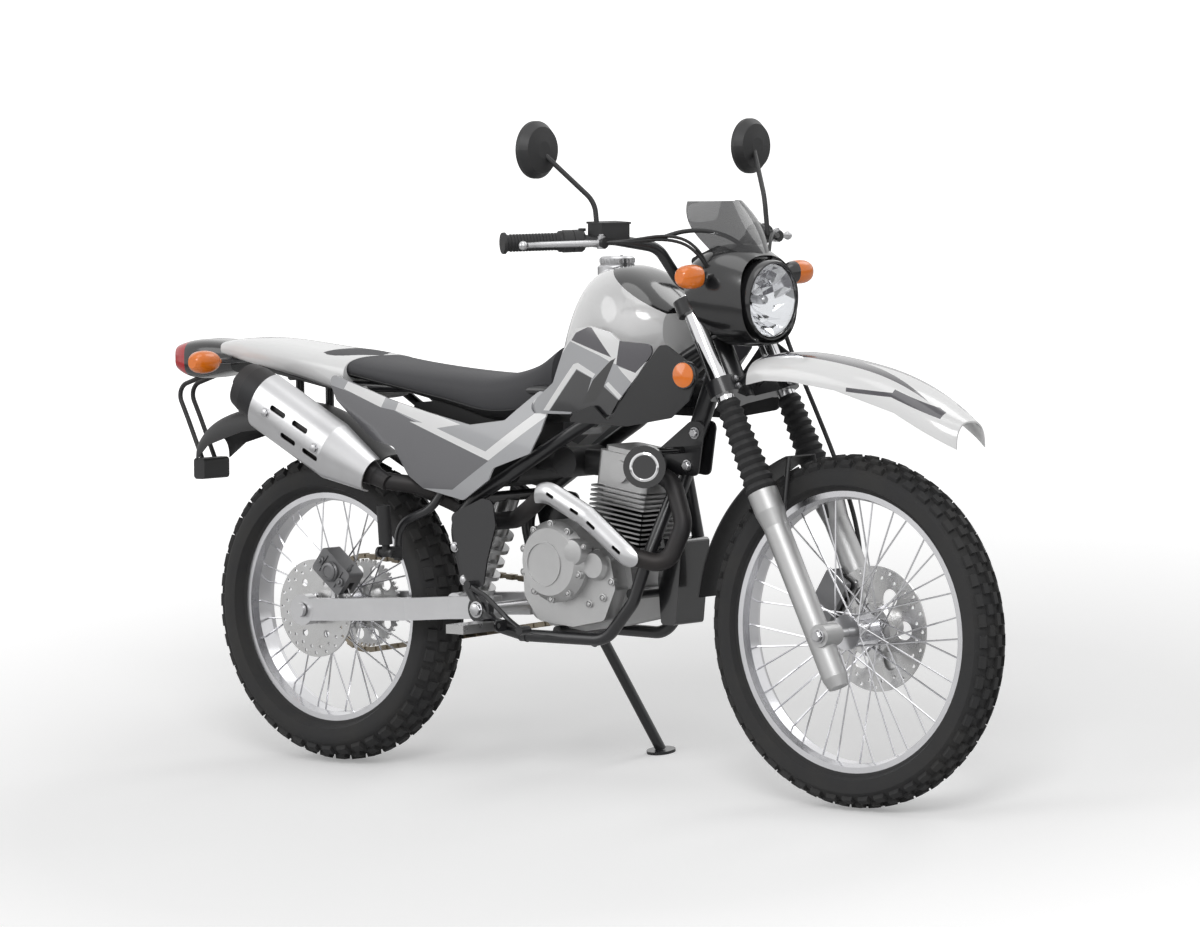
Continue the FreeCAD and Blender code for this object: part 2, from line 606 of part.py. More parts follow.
def turned(points, centre, axis):
    """A body of revolution; each point is a reach from the axis and a place along it."""
    along = unit(axis)
    out = unit(along.cross(UP) if abs(along.dot(UP)) < RUN_SHARE else along.cross(ACROSS))
    loop = [centre + out * reach + along * place for reach, place in points]
    face = Part.Face(Part.makePolygon(loop + [loop[0]]))
    return face.revolve(centre, along, FULL_TURN)


# Frame


def cross_tube(place, diameter):
    x_share, z_share, width_share = place
    reach = FRAME_HALF_WIDTH * width_share
    return rod(spot(x_share, -reach, z_share), spot(x_share, reach, z_share), diameter)


def clevis(pivot, hand, root):
    """Two ears with a pin bore between a root place and a pivot whose pin lies along the machine."""
    ears = []
    for end in (1, -1):
        inner = V(end * EAR_HALF_GAP, 0, 0)
        outer = V(end * (EAR_HALF_GAP + EAR_THICKNESS), 0, 0)
        ears.append(rod(pivot + inner, pivot + outer, 2 * EAR_RADIUS))
        back = pivot - ACROSS * (hand * (EAR_RADIUS + EAR_THICKNESS))
        corner = V(min(inner.x, outer.x), -EAR_RADIUS - EAR_THICKNESS if hand > 0 else 0, -EAR_RADIUS)
        ears.append(Part.makeBox(EAR_THICKNESS, EAR_RADIUS + EAR_THICKNESS, 2 * EAR_RADIUS, pivot + corner))
    wide = EAR_HALF_GAP + EAR_THICKNESS
    low = -EAR_RADIUS - 2 * EAR_THICKNESS if hand > 0 else EAR_RADIUS + EAR_THICKNESS
    base = Part.makeBox(2 * wide, EAR_THICKNESS, 2 * EAR_RADIUS, pivot + V(-wide, low, -EAR_RADIUS))
    end = back.y - hand * EAR_THICKNESS / 2
    neck = Part.makeBox(EAR_ROOT_WIDTH, abs(end - root.y), EAR_ROOT_WIDTH,
                        V(pivot.x - EAR_ROOT_WIDTH / 2, min(end, root.y), pivot.z - EAR_ROOT_WIDTH / 2))
    body = joined(ears + [base, neck])
    pin = rod(pivot - V(2 * wide, 0, 0), pivot + V(2 * wide, 0, 0), PEG_PIN_DIAMETER + 2 * RUNNING_GAP)
    return body.cut(pin)


def stand_mount():
    """A lug from the left cradle tube with the bolt that the stand swings on."""
    pivot, axis = stand_pivot(), stand_axis()
    face = pivot - axis * (STAND_DIAMETER / 2 + RUNNING_GAP)
    root = frame_spots(CRADLE_SHARES)[-1]
    lug = rod(face - axis * STAND_BOLT_DIAMETER, face, STAND_PIVOT_DIAMETER)
    arm = rod(root, face - axis * (STAND_BOLT_DIAMETER / 2), STAND_DIAMETER)
    bolt = rod(face - axis * (STAND_BOLT_DIAMETER / 2), pivot + axis * (STAND_DIAMETER / 2 + STAND_BOLT_DIAMETER / 2),
               STAND_BOLT_DIAMETER)
    swing = rod(face, pivot + axis * STAND_PIVOT_DIAMETER, 2 * STAND_PIVOT_DIAMETER)
    return joined([joined([lug, arm]).cut(swing), bolt])


def make_frame():
    head = rod(steer(0, 0, HEAD_TUBE_HEIGHT), steer(0, 0, HEAD_TUBE_HEIGHT + HEAD_TUBE_LENGTH), HEAD_TUBE_DIAMETER)
    down = tube(frame_spots(DOWN_SHARES), DOWN_TUBE, TUBE_BEND)
    pieces = [head, down]
    for hand in (1, -1):
        pieces.append(tube(frame_spots(CRADLE_SHARES, hand), CRADLE_TUBE, TUBE_BEND))
        pieces.append(tube(frame_spots(MAIN_SHARES, hand), MAIN_TUBE, TUBE_BEND))
        pieces.append(tube(frame_spots(RAIL_SHARES, hand), RAIL_TUBE, TUBE_BEND))
        pieces.append(tube(frame_spots(STAY_SHARES, hand), STAY_TUBE, TUBE_BEND))
        side = hand * (FRAME_REAR_HALF_WIDTH - PIVOT_BOSS_WIDTH / 2)
        pieces.append(rod(spot(PIVOT_SHARES[0], side, PIVOT_SHARES[1]),
                          spot(PIVOT_SHARES[0], side + hand * PIVOT_BOSS_WIDTH, PIVOT_SHARES[1]),
                          PIVOT_BOSS_DIAMETER))
        pieces.append(clevis(peg_pivot(hand), hand, spot(PEG_X_SHARE, hand * FRAME_REAR_HALF_WIDTH, PEG_Z_SHARE)))
        side = hand * FENDER_POST_SHARES[1] * FRAME_HALF_WIDTH
        pieces.append(rod(spot(FENDER_POST_SHARES[0], side, FENDER_POST_SHARES[2]),
                          spot(FENDER_POST_SHARES[0], side, FENDER_POST_SHARES[3]),
                          CROSS_TUBE))
    for place in (REAR_CROSS_SHARES, SEAT_CROSS_SHARES, SHOCK_CROSS_SHARES) + ENGINE_CROSSES_SHARES:
        pieces.append(cross_tube(place, RAIL_TUBE))
    for place in (CANISTER_CROSS_SHARES, (FENDER_POST_SHARES[0], FENDER_POST_SHARES[3], REAR_CROSS_SHARES[2])):
        pieces.append(cross_tube(place, CROSS_TUBE))
    for hand in (1, -1):
        side = hand * DOWN_TUBE / 2
        pieces.append(plate(profile(HANGER_SHARES), side - PANEL_THICKNESS / 2, PANEL_THICKNESS, CORNER_RADIUS))
    pieces.append(cross_tube(HANGER_BOLT_SHARES, STAND_BOLT_DIAMETER))
    pieces.append(stand_mount())
    bore = rod(steer(0, 0, HEAD_TUBE_HEIGHT - OVERRUN), steer(0, 0, HEAD_TUBE_HEIGHT + HEAD_TUBE_LENGTH + OVERRUN),
               STEM_DIAMETER + 2 * RUNNING_GAP)
    pivot_bore = rod(spot(PIVOT_SHARES[0], -2 * FRAME_HALF_WIDTH, PIVOT_SHARES[1]),
                     spot(PIVOT_SHARES[0], 2 * FRAME_HALF_WIDTH, PIVOT_SHARES[1]),
                     PIVOT_DIAMETER)
    return joined(pieces).cut([bore, pivot_bore])


# Swingarm with its pivot shaft and the rear axle


def make_swingarm():
    pieces = []
    for hand in (1, -1):
        loops = []
        for x_share, spread in ARM_SHARES:
            side = ARM_FRONT_HALF_SPACING + spread * (ARM_HALF_SPACING - ARM_FRONT_HALF_SPACING)
            height = REAR_TYRE_RADIUS + (PIVOT_SHARES[1] * SEAT_HEIGHT - REAR_TYRE_RADIUS) * x_share / PIVOT_SHARES[0]
            middle = V(x_share * WHEELBASE, hand * side, height)
            tall, wide = ARM_HEIGHT / 2, ARM_WIDTH / 2
            corners = [middle + V(0, wide, tall), middle + V(0, -wide, tall),
                       middle + V(0, -wide, -tall), middle + V(0, wide, -tall)]
            loops.append(Part.makePolygon(corners + [corners[0]]))
        pieces.append(loft(loops, True))
        tip = REAR_AXLE + V(0, hand * (ARM_HALF_SPACING - ARM_WIDTH / 2), 0)
        pieces.append(rod(tip, tip + V(0, hand * ARM_WIDTH, 0), ARM_HEIGHT + PEG_HEIGHT))
    reach = FRAME_REAR_HALF_WIDTH + PIVOT_BOSS_WIDTH
    pivot_height = PIVOT_SHARES[1] * SEAT_HEIGHT
    pieces.append(rod(V(PIVOT_SHARES[0] * WHEELBASE, -ARM_FRONT_HALF_SPACING, pivot_height),
                      V(PIVOT_SHARES[0] * WHEELBASE, ARM_FRONT_HALF_SPACING, pivot_height), ARM_HEIGHT))
    pieces.append(rod(V(PIVOT_SHARES[0] * WHEELBASE, -reach, pivot_height),
                      V(PIVOT_SHARES[0] * WHEELBASE, reach, pivot_height),
                      PIVOT_DIAMETER))
    pieces.append(rod(REAR_AXLE - ACROSS * REAR_AXLE_HALF_LENGTH, REAR_AXLE + ACROSS * REAR_AXLE_HALF_LENGTH,
                      AXLE_DIAMETER))
    for hand in (1, -1):
        end = REAR_AXLE + ACROSS * (hand * REAR_AXLE_HALF_LENGTH)
        pieces.append(rod(end - ACROSS * (hand * AXLE_NUT_WIDTH), end, AXLE_NUT_DIAMETER))
    lug = REAR_AXLE + V(REAR_DISC_RADIUS * REAR_CALIPER_SHARES[0], ARM_WIDTH / 2 + OVERRUN - ARM_HALF_SPACING, 0)
    pieces.append(rod(lug, lug + UP * (REAR_DISC_RADIUS * REAR_CALIPER_SHARES[1]), ARM_WIDTH / 2))
    cross = (ARM_SHARES[1][0] * WHEELBASE, pivot_height)
    pieces.append(rod(V(cross[0], -ARM_FRONT_HALF_SPACING, cross[1]), V(cross[0], ARM_FRONT_HALF_SPACING, cross[1]),
                      ARM_HEIGHT))
    return joined(pieces)


def make_shock():
    """A damper inside its spring, drawn as one ribbed body."""
    top, bottom = profile(SHOCK_SHARES)
    length = (top - bottom).Length
    pitch = length / (SPRING_TURNS + 2)
    body, coil = SHOCK_BODY_DIAMETER / 2, SPRING_DIAMETER / 2
    outline = [(0, 0), (body, 0), (body, pitch)]
    for turn in range(SPRING_TURNS):
        low = pitch * (turn + 1)
        outline += [(body, low), (coil, low + SPRING_WIRE / 4), (coil, low + SPRING_WIRE), (body, low + SPRING_WIRE)]
    outline += [(body, length), (0, length)]
    return turned(outline[:2] + outline[4:], bottom, top - bottom)


# Wheels, drawn round the origin with the axle along Y

def make_tyre(full_radius, width, full_crown, rim_radius, rim_width):
    """A closed ring, two sidewalls that swell to the full width and a round crown, with rows of lugs on it."""
    radius, crown = full_radius - LUG_HEIGHT, full_crown - LUG_HEIGHT
    bead = rim_radius - BEAD_DEPTH
    half, bead_half = width / 2, rim_width / 2 - RIM_WALL
    crown_half = min(half, crown) * CROWN_SHARE
    drop = crown - math.sqrt(crown ** 2 - crown_half ** 2)
    shoulder = radius - drop
    swell = bead + (shoulder - bead) * SWELL_SHARE

    def at(side, reach):
        return V(0, side, reach)
    edges = [
        Part.Arc(at(-crown_half, shoulder), at(0, radius), at(crown_half, shoulder)).toShape(),
        Part.Arc(at(crown_half, shoulder), at(half, swell), at(bead_half, bead)).toShape(),
        Part.LineSegment(at(bead_half, bead), at(-bead_half, bead)).toShape(),
        Part.Arc(at(-bead_half, bead), at(-half, swell), at(-crown_half, shoulder)).toShape()]
    ring = Part.Face(Part.Wire(edges)).revolve(ORIGIN, ACROSS, FULL_TURN)
    return ring.cut(rim_ring(rim_radius, rim_width)).fuse(tyre_lugs(full_radius, full_crown, width))


def tyre_lugs(radius, crown, width):
    """Tread blocks in a middle row and two shoulder rows that are set half a step on."""
    lugs = []
    depth = LUG_HEIGHT + LUG_ROOT
    step = 2 * math.pi * radius / LUG_COUNT
    for tilt_share, length_share, width_share, shift in LUG_ROW_SHARES:
        long, wide = step * length_share, width * width_share
        lug = Part.makeBox(long, wide, depth, V(-long / 2, -wide / 2, crown - depth))
        lug.rotate(ORIGIN, V(1, 0, 0), LUG_SHOULDER_TILT * tilt_share)
        lug.translate(UP * (radius - crown))
        for index in range(LUG_COUNT):
            copy = lug.copy()
            copy.rotate(ORIGIN, ACROSS, FULL_TURN * (index + shift) / LUG_COUNT)
            lugs.append(copy)
    return lugs


def rim_ring(rim_radius, rim_width):
    half, bead = rim_width / 2, rim_radius - BEAD_DEPTH
    inner = rim_radius - RIM_DEPTH
    well = half * RIM_WELL_SHARE
    return turned([(rim_radius, half - RIM_WALL), (rim_radius, half), (bead - RIM_WALL, half), (inner, well),
                   (inner, -well), (bead - RIM_WALL, -half), (rim_radius, -half), (rim_radius, RIM_WALL - half),
                   (bead, RIM_WALL - half), (bead, half - RIM_WALL)], ORIGIN, ACROSS)


def make_wheel(rim_radius, rim_width, hub_half):
    """Rim, hub and laced spokes as one piece."""
    inner, well = rim_radius - RIM_DEPTH, rim_width / 2 * RIM_WELL_SHARE
    rim = rim_ring(rim_radius, rim_width)
    bore = AXLE_DIAMETER / 2 + RUNNING_GAP
    flange = hub_half - HUB_FLANGE_WIDTH
    hub = turned([(bore, -hub_half), (HUB_FLANGE_RADIUS, -hub_half), (HUB_FLANGE_RADIUS, -flange),
                  (HUB_BARREL_RADIUS, -flange), (HUB_BARREL_RADIUS, flange), (HUB_FLANGE_RADIUS, flange),
                  (HUB_FLANGE_RADIUS, hub_half), (bore, hub_half)], ORIGIN, ACROSS)
    spokes = []
    pairs = 2 * SPOKE_PAIRS
    hub_reach, rim_reach = HUB_FLANGE_RADIUS - HUB_FLANGE_WIDTH, inner + RIM_WALL / 2
    for index in range(2 * pairs):
        hand = 1 if index % 2 else -1
        lace = LACE_TURN if (index // 2) % 2 else -LACE_TURN
        rim_angle = math.pi * index / pairs
        hub_angle = rim_angle + lace
        side = hand * (hub_half - HUB_FLANGE_WIDTH / 2)
        start = V(hub_reach * math.cos(hub_angle), side, hub_reach * math.sin(hub_angle))
        end = V(rim_reach * math.cos(rim_angle), hand * well / 2, rim_reach * math.sin(rim_angle))
        spokes.append(spoke(start, end))
    return rim.fuse([hub] + spokes)


def spoke(start, end):
    along = unit(end - start)
    across = unit(along.cross(ACROSS))
    other = along.cross(across)
    corners = []
    for index in range(SPOKE_SIDES):
        angle = 2 * math.pi * index / SPOKE_SIDES
        corners.append(start + (across * math.cos(angle) + other * math.sin(angle)) * (SPOKE_DIAMETER / 2))
    return Part.Face(Part.makePolygon(corners + [corners[0]])).extrude(end - start)


def make_disc(radius, side, hub_reach, hub_side):
    """A brake disc whose band is carried by a flat centre that seats on the hub's end."""
    inner, outer = sorted((hub_side, side + math.copysign(DISC_THICKNESS / 2, side - hub_side)))
    centre = Part.makeCylinder(hub_reach, outer - inner, V(0, inner, 0), ACROSS)
    disc = Part.makeCylinder(radius, DISC_THICKNESS, V(0, side - DISC_THICKNESS / 2, 0), ACROSS)
    bore = Part.makeCylinder(AXLE_DIAMETER / 2 + 2 * RUNNING_GAP, 2 * radius, V(0, -radius, 0), ACROSS)
    windows = []
    for index in range(DISC_ARMS):
        angle = 2 * math.pi * index / DISC_ARMS
        reach = (hub_reach + radius - DISC_BAND) / 2
        middle = V(reach * math.cos(angle), -radius, reach * math.sin(angle))
        windows.append(Part.makeCylinder((radius - DISC_BAND - hub_reach) / 2, 2 * radius, middle, ACROSS))
    for row, reach_share in enumerate(DISC_HOLE_SHARES):
        for index in range(DISC_HOLES):
            angle = 2 * math.pi * (index + row / 2) / DISC_HOLES
            reach = radius - DISC_BAND * reach_share
            middle = V(reach * math.cos(angle), -radius, reach * math.sin(angle))
            windows.append(Part.makeCylinder(DISC_HOLE_DIAMETER / 2, 2 * radius, middle, ACROSS))
    return joined([centre, disc]).cut([bore] + windows)


def make_sprocket():
    centre = Part.makeCylinder(SPROCKET_HUB_RADIUS, CHAIN_SIDE - REAR_HUB_HALF_WIDTH, V(0, REAR_HUB_HALF_WIDTH, 0),
                               ACROSS)
    points = []
    for tooth in range(SPROCKET_TEETH):
        for share, reach in zip(TOOTH_SHARES, (1, 1, TOOTH_ROOT_SHARE, TOOTH_ROOT_SHARE)):
            angle = 2 * math.pi * (tooth + share) / SPROCKET_TEETH
            points.append(V(math.cos(angle), 0, math.sin(angle)) * (SPROCKET_RADIUS * reach))
    outline = Part.Face(Part.makePolygon(points + [points[0]]))
    disc = outline.translated(V(0, CHAIN_SIDE - SPROCKET_THICKNESS / 2, 0)).extrude(V(0, SPROCKET_THICKNESS, 0))
    holes = [Part.makeCylinder(AXLE_DIAMETER / 2 + 2 * RUNNING_GAP, 2 * CHAIN_SIDE, ORIGIN, ACROSS)]
    reach = (SPROCKET_HUB_RADIUS + SPROCKET_RADIUS * TOOTH_ROOT_SHARE) / 2
    for index in range(SPROCKET_WINDOWS):
        angle = 2 * math.pi * index / SPROCKET_WINDOWS
        holes.append(Part.makeCylinder((reach - SPROCKET_HUB_RADIUS) * SPROCKET_WINDOW_SHARE, 2 * CHAIN_SIDE,
                                       V(reach * math.cos(angle), 0, reach * math.sin(angle)), ACROSS))
    return joined([centre, disc]).cut(holes)


# Chain: one loop over both sprockets


def chain_places(rear_radius, front_radius):
    """Evenly spaced places and directions round a belt over both sprocket centres, one for each link."""
    front = spot(DRIVE_SHARES[0], 0, DRIVE_SHARES[1])
    line = front - REAR_AXLE
    tilt = math.atan2(line.z, line.x)
    slope = math.acos((rear_radius - front_radius) / line.Length)
    run = line.Length * math.sin(slope)
    rear_arc, front_arc = rear_radius * (2 * math.pi - 2 * slope), front_radius * 2 * slope
    whole = 2 * run + rear_arc + front_arc
    count = 2 * round(whole / CHAIN_PITCH / 2)

    def ray(angle):
        return V(math.cos(angle), 0, math.sin(angle))
    places = []
    for index in range(count):
        reach = whole * index / count
        if reach < run:
            angle = tilt + slope
            centre = REAR_AXLE + ray(angle) * rear_radius + ray(angle - math.pi / 2) * reach
        elif reach < run + front_arc:
            angle = tilt + slope - (reach - run) / front_radius
            centre = front + ray(angle) * front_radius
        elif reach < 2 * run + front_arc:
            angle = tilt - slope
            centre = front + ray(angle) * front_radius + ray(angle - math.pi / 2) * (reach - run - front_arc)
        else:
            angle = tilt - slope - (reach - 2 * run - front_arc) / rear_radius
            centre = REAR_AXLE + ray(angle) * rear_radius
        places.append((centre, angle, whole / count))
    return places


def make_chain():
    """Links by turns narrow and wide, each lapping the next."""
    links = []
    middle = CHAIN_CLEARANCE + CHAIN_HEIGHT / 2
    for index, (centre, angle, pitch) in enumerate(chain_places(SPROCKET_RADIUS + middle,
                                                                DRIVE_SPROCKET_RADIUS + middle)):
        wide = CHAIN_WIDTH if index % 2 else CHAIN_WIDTH * INNER_LINK_SHARE
        high = CHAIN_HEIGHT if index % 2 else CHAIN_HEIGHT * INNER_LINK_SHARE
        long = pitch * LINK_LAP_SHARE
        link = Part.makeBox(long, wide, high, V(-long / 2, -wide / 2, -high / 2))
        link.rotate(ORIGIN, ACROSS, FULL_TURN / 4 - math.degrees(angle))
        link.translate(centre + V(0, CHAIN_SIDE, 0))
        links.append(link)
    return links[0].fuse(links[1:])


# Engine


def make_crankcase():
    """The case block with the output shaft and the small sprocket that carries the chain."""
    block = plate(profile(CASE_SHARES), -CASE_HALF_WIDTH, CASE_HALF_WIDTH + CASE_LEFT_WIDTH, CORNER_RADIUS)
    shaft = spot(DRIVE_SHARES[0], 0, DRIVE_SHARES[1])
    half = SPROCKET_THICKNESS / 2
    boss = rod(shaft - ACROSS * (CASE_HALF_WIDTH / 2), shaft + ACROSS * CASE_LEFT_WIDTH, 2 * DRIVE_SPROCKET_RADIUS)
    spindle = rod(shaft, shaft + ACROSS * (CHAIN_SIDE + SPROCKET_THICKNESS), DRIVE_SPROCKET_RADIUS)
    wheel = rod(shaft + ACROSS * (CHAIN_SIDE - half), shaft + ACROSS * (CHAIN_SIDE + half),
                2 * (DRIVE_SPROCKET_RADIUS + 2 * CHAIN_CLEARANCE))
    return joined([block, boss, spindle, wheel])


def cover(centre, radius, inner, outer, rim_share):
    """A domed round cover, its face drawn in at the rim."""
    hand = math.copysign(1, outer)
    depth = abs(outer) - abs(inner)
    dome = turned([(0, 0), (radius, 0), (radius, depth * rim_share), (radius * COVER_FACE_SHARE, depth),
                   (0, depth)], V(centre.x, inner, centre.z), ACROSS * hand)
    return dome


def make_clutch_cover():
    centre = spot(CLUTCH_SHARES[0], 0, CLUTCH_SHARES[1])
    inner = -CASE_HALF_WIDTH
    round_cover = cover(centre, CLUTCH_COVER_RADIUS, inner, -COVER_OUTER, COVER_RIM_SHARE)
    base = plate(profile(COVER_SHARES), inner - COVER_BASE, COVER_BASE, CORNER_RADIUS)
    small = cover(spot(FILTER_SHARES[0], 0, FILTER_SHARES[1]), FILTER_RADIUS, inner - COVER_BASE / 2,
                  -COVER_OUTER + FILTER_STEP, COVER_RIM_SHARE)
    return joined([base, round_cover, small])


def make_stator_cover():
    inner = CASE_LEFT_WIDTH
    round_cover = cover(spot(STATOR_SHARES[0], 0, STATOR_SHARES[1]), STATOR_COVER_RADIUS, inner, STATOR_COVER_OUTER,
                        COVER_RIM_SHARE)
    base = plate(profile(STATOR_BASE_SHARES), inner, COVER_BASE, CORNER_RADIUS)
    return joined([base, round_cover])


def engine_place(along, up):
    """A place on the cylinder's own axes from its foot: forward and up the bore."""
    foot = spot(CYLINDER_FOOT_SHARES[0], 0, CYLINDER_FOOT_SHARES[1])
    return foot + V(along * math.cos(CYLINDER_TILT) + up * math.sin(CYLINDER_TILT), 0,
                    up * math.cos(CYLINDER_TILT) - along * math.sin(CYLINDER_TILT))


def slab(half_length, half_width, low, high, radius):
    """A block with round corners across the cylinder's axis."""
    corners = []
    for along, side in ((1, 1), (-1, 1), (-1, -1), (1, -1)):
        corners.append(engine_place(along * half_length, low) + V(0, side * half_width, 0))
    face = Part.Face(rounded_loop(corners, radius))
    return face.extrude(engine_place(0, high) - engine_place(0, low))


def make_cylinder():
    pieces = [rod(engine_place(0, 0), engine_place(0, CYLINDER_HEIGHT), 2 * BARREL_RADIUS)]
    for index in range(FIN_COUNT):
        low = index * FIN_PITCH + (FIN_PITCH - FIN_THICKNESS) / 2
        pieces.append(slab(CYLINDER_HALF_LENGTH, CYLINDER_HALF_WIDTH, low, low + FIN_THICKNESS, FIN_ROUND))
    return joined(pieces)


def make_cylinder_head():
    low = CYLINDER_HEIGHT
    fins_top = low + HEAD_FIN_COUNT * FIN_PITCH
    pieces = [slab(HEAD_HALF_LENGTH - FIN_ROUND, HEAD_HALF_WIDTH - FIN_ROUND, low, low + HEAD_HEIGHT, CORNER_RADIUS)]
    for index in range(HEAD_FIN_COUNT):
        base = low + index * FIN_PITCH + (FIN_PITCH - FIN_THICKNESS) / 2
        pieces.append(slab(CYLINDER_HALF_LENGTH, CYLINDER_HALF_WIDTH, base, base + FIN_THICKNESS, FIN_ROUND))
    pieces.append(slab(HEAD_HALF_LENGTH, HEAD_HALF_WIDTH, fins_top, low + HEAD_HEIGHT - FIN_PITCH, CORNER_RADIUS))
    cap = engine_place(0, (fins_top + low + HEAD_HEIGHT - FIN_PITCH) / 2)
    reach = HEAD_HALF_WIDTH + FIN_PITCH
    pieces.append(rod(cap - ACROSS * reach, cap + ACROSS * reach, PLUG_DIAMETER))
    return joined(pieces)


def make_throttle_body():
    front, rear = profile(THROTTLE_SHARES)
    middle = (front + rear) / 2
    return joined([rod(front, rear, THROTTLE_DIAMETER),
                   rod(middle - ACROSS * THROTTLE_DIAMETER, middle + ACROSS * THROTTLE_DIAMETER,
                       THROTTLE_DIAMETER + FIN_PITCH)])


def make_air_box():
    return plate(profile(AIR_BOX_SHARES), -AIR_BOX_HALF_WIDTH, 2 * AIR_BOX_HALF_WIDTH, CORNER_RADIUS)


# Exhaust


def make_header():
    return tube(spots(HEADER_SHARES, FRAME_HALF_WIDTH), HEADER_DIAMETER, HEADER_BEND)


def make_header_shield():
    """A half pipe round the header's outer side, slotted, on two bosses."""
    points = spots(HEADER_SHARES[SHIELD_FIRST:SHIELD_LAST], FRAME_HALF_WIDTH)
    inner = HEADER_DIAMETER + 2 * SHIELD_GAP
    middle = HEADER_SIDE * FRAME_HALF_WIDTH
    sleeve = tube(points, inner + 2 * GUARD_THICKNESS, HEADER_BEND).cut(tube(points, inner, HEADER_BEND))
    edge = middle - HEADER_DIAMETER * SHIELD_COVER_SHARE
    keep = plate(profile(SHIELD_SHARES), edge - HEADER_DIAMETER, HEADER_DIAMETER, CORNER_RADIUS)
    side = middle - inner / 2 - GUARD_THICKNESS
    slots = []
    for (x0, z0), (x1, z1) in SHIELD_SLOT_SHARES:
        start, end = spot(x0, side - OVERRUN, z0), spot(x1, side - OVERRUN, z1)
        rise = unit(ACROSS.cross(end - start)) * (SHIELD_SLOT / 2)
        face = Part.Face(rounded_loop([start - rise, end - rise, end + rise, start + rise], SHIELD_SLOT))
        slots.append(face.extrude(V(0, 2 * OVERRUN + SHIELD_GAP, 0)))
    bosses = [rod(spot(x, middle, z), spot(x, side + GUARD_THICKNESS / 2, z), SHIELD_BOLT)
              for x, z in SHIELD_BOLT_SHARES]
    return joined([sleeve.common(keep).cut(slots)] + bosses)


def muffler_loops(gap, shares):
    places = [spot(x, -MUFFLER_SIDE, z) for x, z, size in shares]
    along = unit(places[-1] - places[0])
    up = ACROSS.cross(along)
    return [section(place, ACROSS, up, MUFFLER_HALF_WIDTH * row[2] + gap, MUFFLER_HALF_HEIGHT * row[2] + gap,
                    MUFFLER_HALF_HEIGHT * row[2] + gap, MUFFLER_SQUARENESS, MUFFLER_SQUARENESS)
            for place, row in zip(places, shares)]


def muffler_outlet():
    """The middle of the muffler's end cap and the way that the outlet points."""
    places = [spot(x, -MUFFLER_SIDE, z) for x, z, size in MUFFLER_SHARES]
    return places[-1], unit(places[-1] - places[0])


def make_muffler():
    loops = muffler_loops(0, MUFFLER_SHARES)
    end, along = muffler_outlet()
    outlet = rod(end - along * OVERRUN, end + along * OUTLET_LENGTH, OUTLET_DIAMETER)
    bore = rod(end - along * OUTLET_LENGTH, end + along * (OUTLET_LENGTH + OVERRUN),
               OUTLET_DIAMETER - 2 * PANEL_THICKNESS)
    return joined([loft(loops[:3], True), loft(loops[2:], True), outlet]).cut(bore)


def make_muffler_guard():
    outer = loft(muffler_loops(GUARD_GAP + GUARD_THICKNESS, GUARD_SHARES), True)
    inner = loft(muffler_loops(GUARD_GAP, GUARD_SHARES), True)
    span = outer.BoundBox
    keep = Part.makeBox(span.XLength, span.YLength / 2, span.ZLength, V(span.XMin, span.YMin, span.ZMin))
    bolts = []
    for x_share, z_share in GUARD_BOLT_SHARES:
        middle = spot(x_share, -MUFFLER_SIDE, z_share)
        bolts.append(rod(middle, middle - ACROSS * (MUFFLER_HALF_WIDTH + GUARD_GAP + GUARD_THICKNESS / 2),
                         SHIELD_BOLT))
    slots = []
    for (x0, z0), (x1, z1) in GUARD_SLOT_SHARES:
        start, end = spot(x0, 0, z0), spot(x1, 0, z1)
        corners = [start, end]
        rise = unit(ACROSS.cross(end - start)) * (GUARD_SLOT / 2)
        loop = [corner + V(0, span.YMin - OVERRUN, 0)
                for corner in (start - rise, end - rise, end + rise, start + rise)]
        face = Part.Face(rounded_loop(loop, GUARD_SLOT))
        slots.append(face.extrude(V(0, OVERRUN + MUFFLER_HALF_WIDTH, 0)))
    return joined([outer.cut(inner).common(keep).cut(slots)] + bolts)


# Bodywork


def upright_loop(x_share, low_share, high_share, half_width, squareness, middle_share=MIDDLE_SHARE):
    """A section across the machine between a low and a high share of the seat height."""
    low, high = low_share * SEAT_HEIGHT, high_share * SEAT_HEIGHT
    middle = low + (high - low) * middle_share
    return section(V(x_share * WHEELBASE, 0, middle), ACROSS, UP, half_width, high - middle, middle - low,
                   squareness, squareness)


def make_tank():
    loops = [upright_loop(x, low, high, TANK_HALF_WIDTH * wide, TANK_SQUARENESS, TANK_MIDDLE_SHARE)
             for x, low, high, wide in TANK_SHARES]
    return loft(loops)


def make_cap():
    foot = spot(CAP_SHARES[0], 0, CAP_SHARES[1])
    return rod(foot, foot + UP * CAP_HEIGHT * 2, CAP_DIAMETER)


def make_seat():
    loops = []
    for x, low, high, wide in SEAT_SHARES:
        base = low * SEAT_HEIGHT
        middle = (base + high * SEAT_HEIGHT) / 2
        loops.append(section(V(x * WHEELBASE, 0, middle), ACROSS, UP, SEAT_HALF_WIDTH * wide,
                             high * SEAT_HEIGHT - middle, middle - base, SEAT_SQUARENESS, SEAT_SQUARENESS))
    return loft(loops)


def with_bosses(panel, places, root_share):
    """A panel with the bosses that hold it off what it is screwed to, each cut flush with the panel's face."""
    span = panel.BoundBox
    pieces = [panel]
    for x_share, z_share in places:
        foot = spot(x_share, span.YMax * root_share, z_share)
        head = V(foot.x, span.YMax + OVERRUN, foot.z)
        whole = rod(foot, head, BOSS_DIAMETER)
        parts = whole.cut(panel).Solids
        pieces.append(min(parts, key=lambda part: part.CenterOfMass.y))
    return joined(pieces)


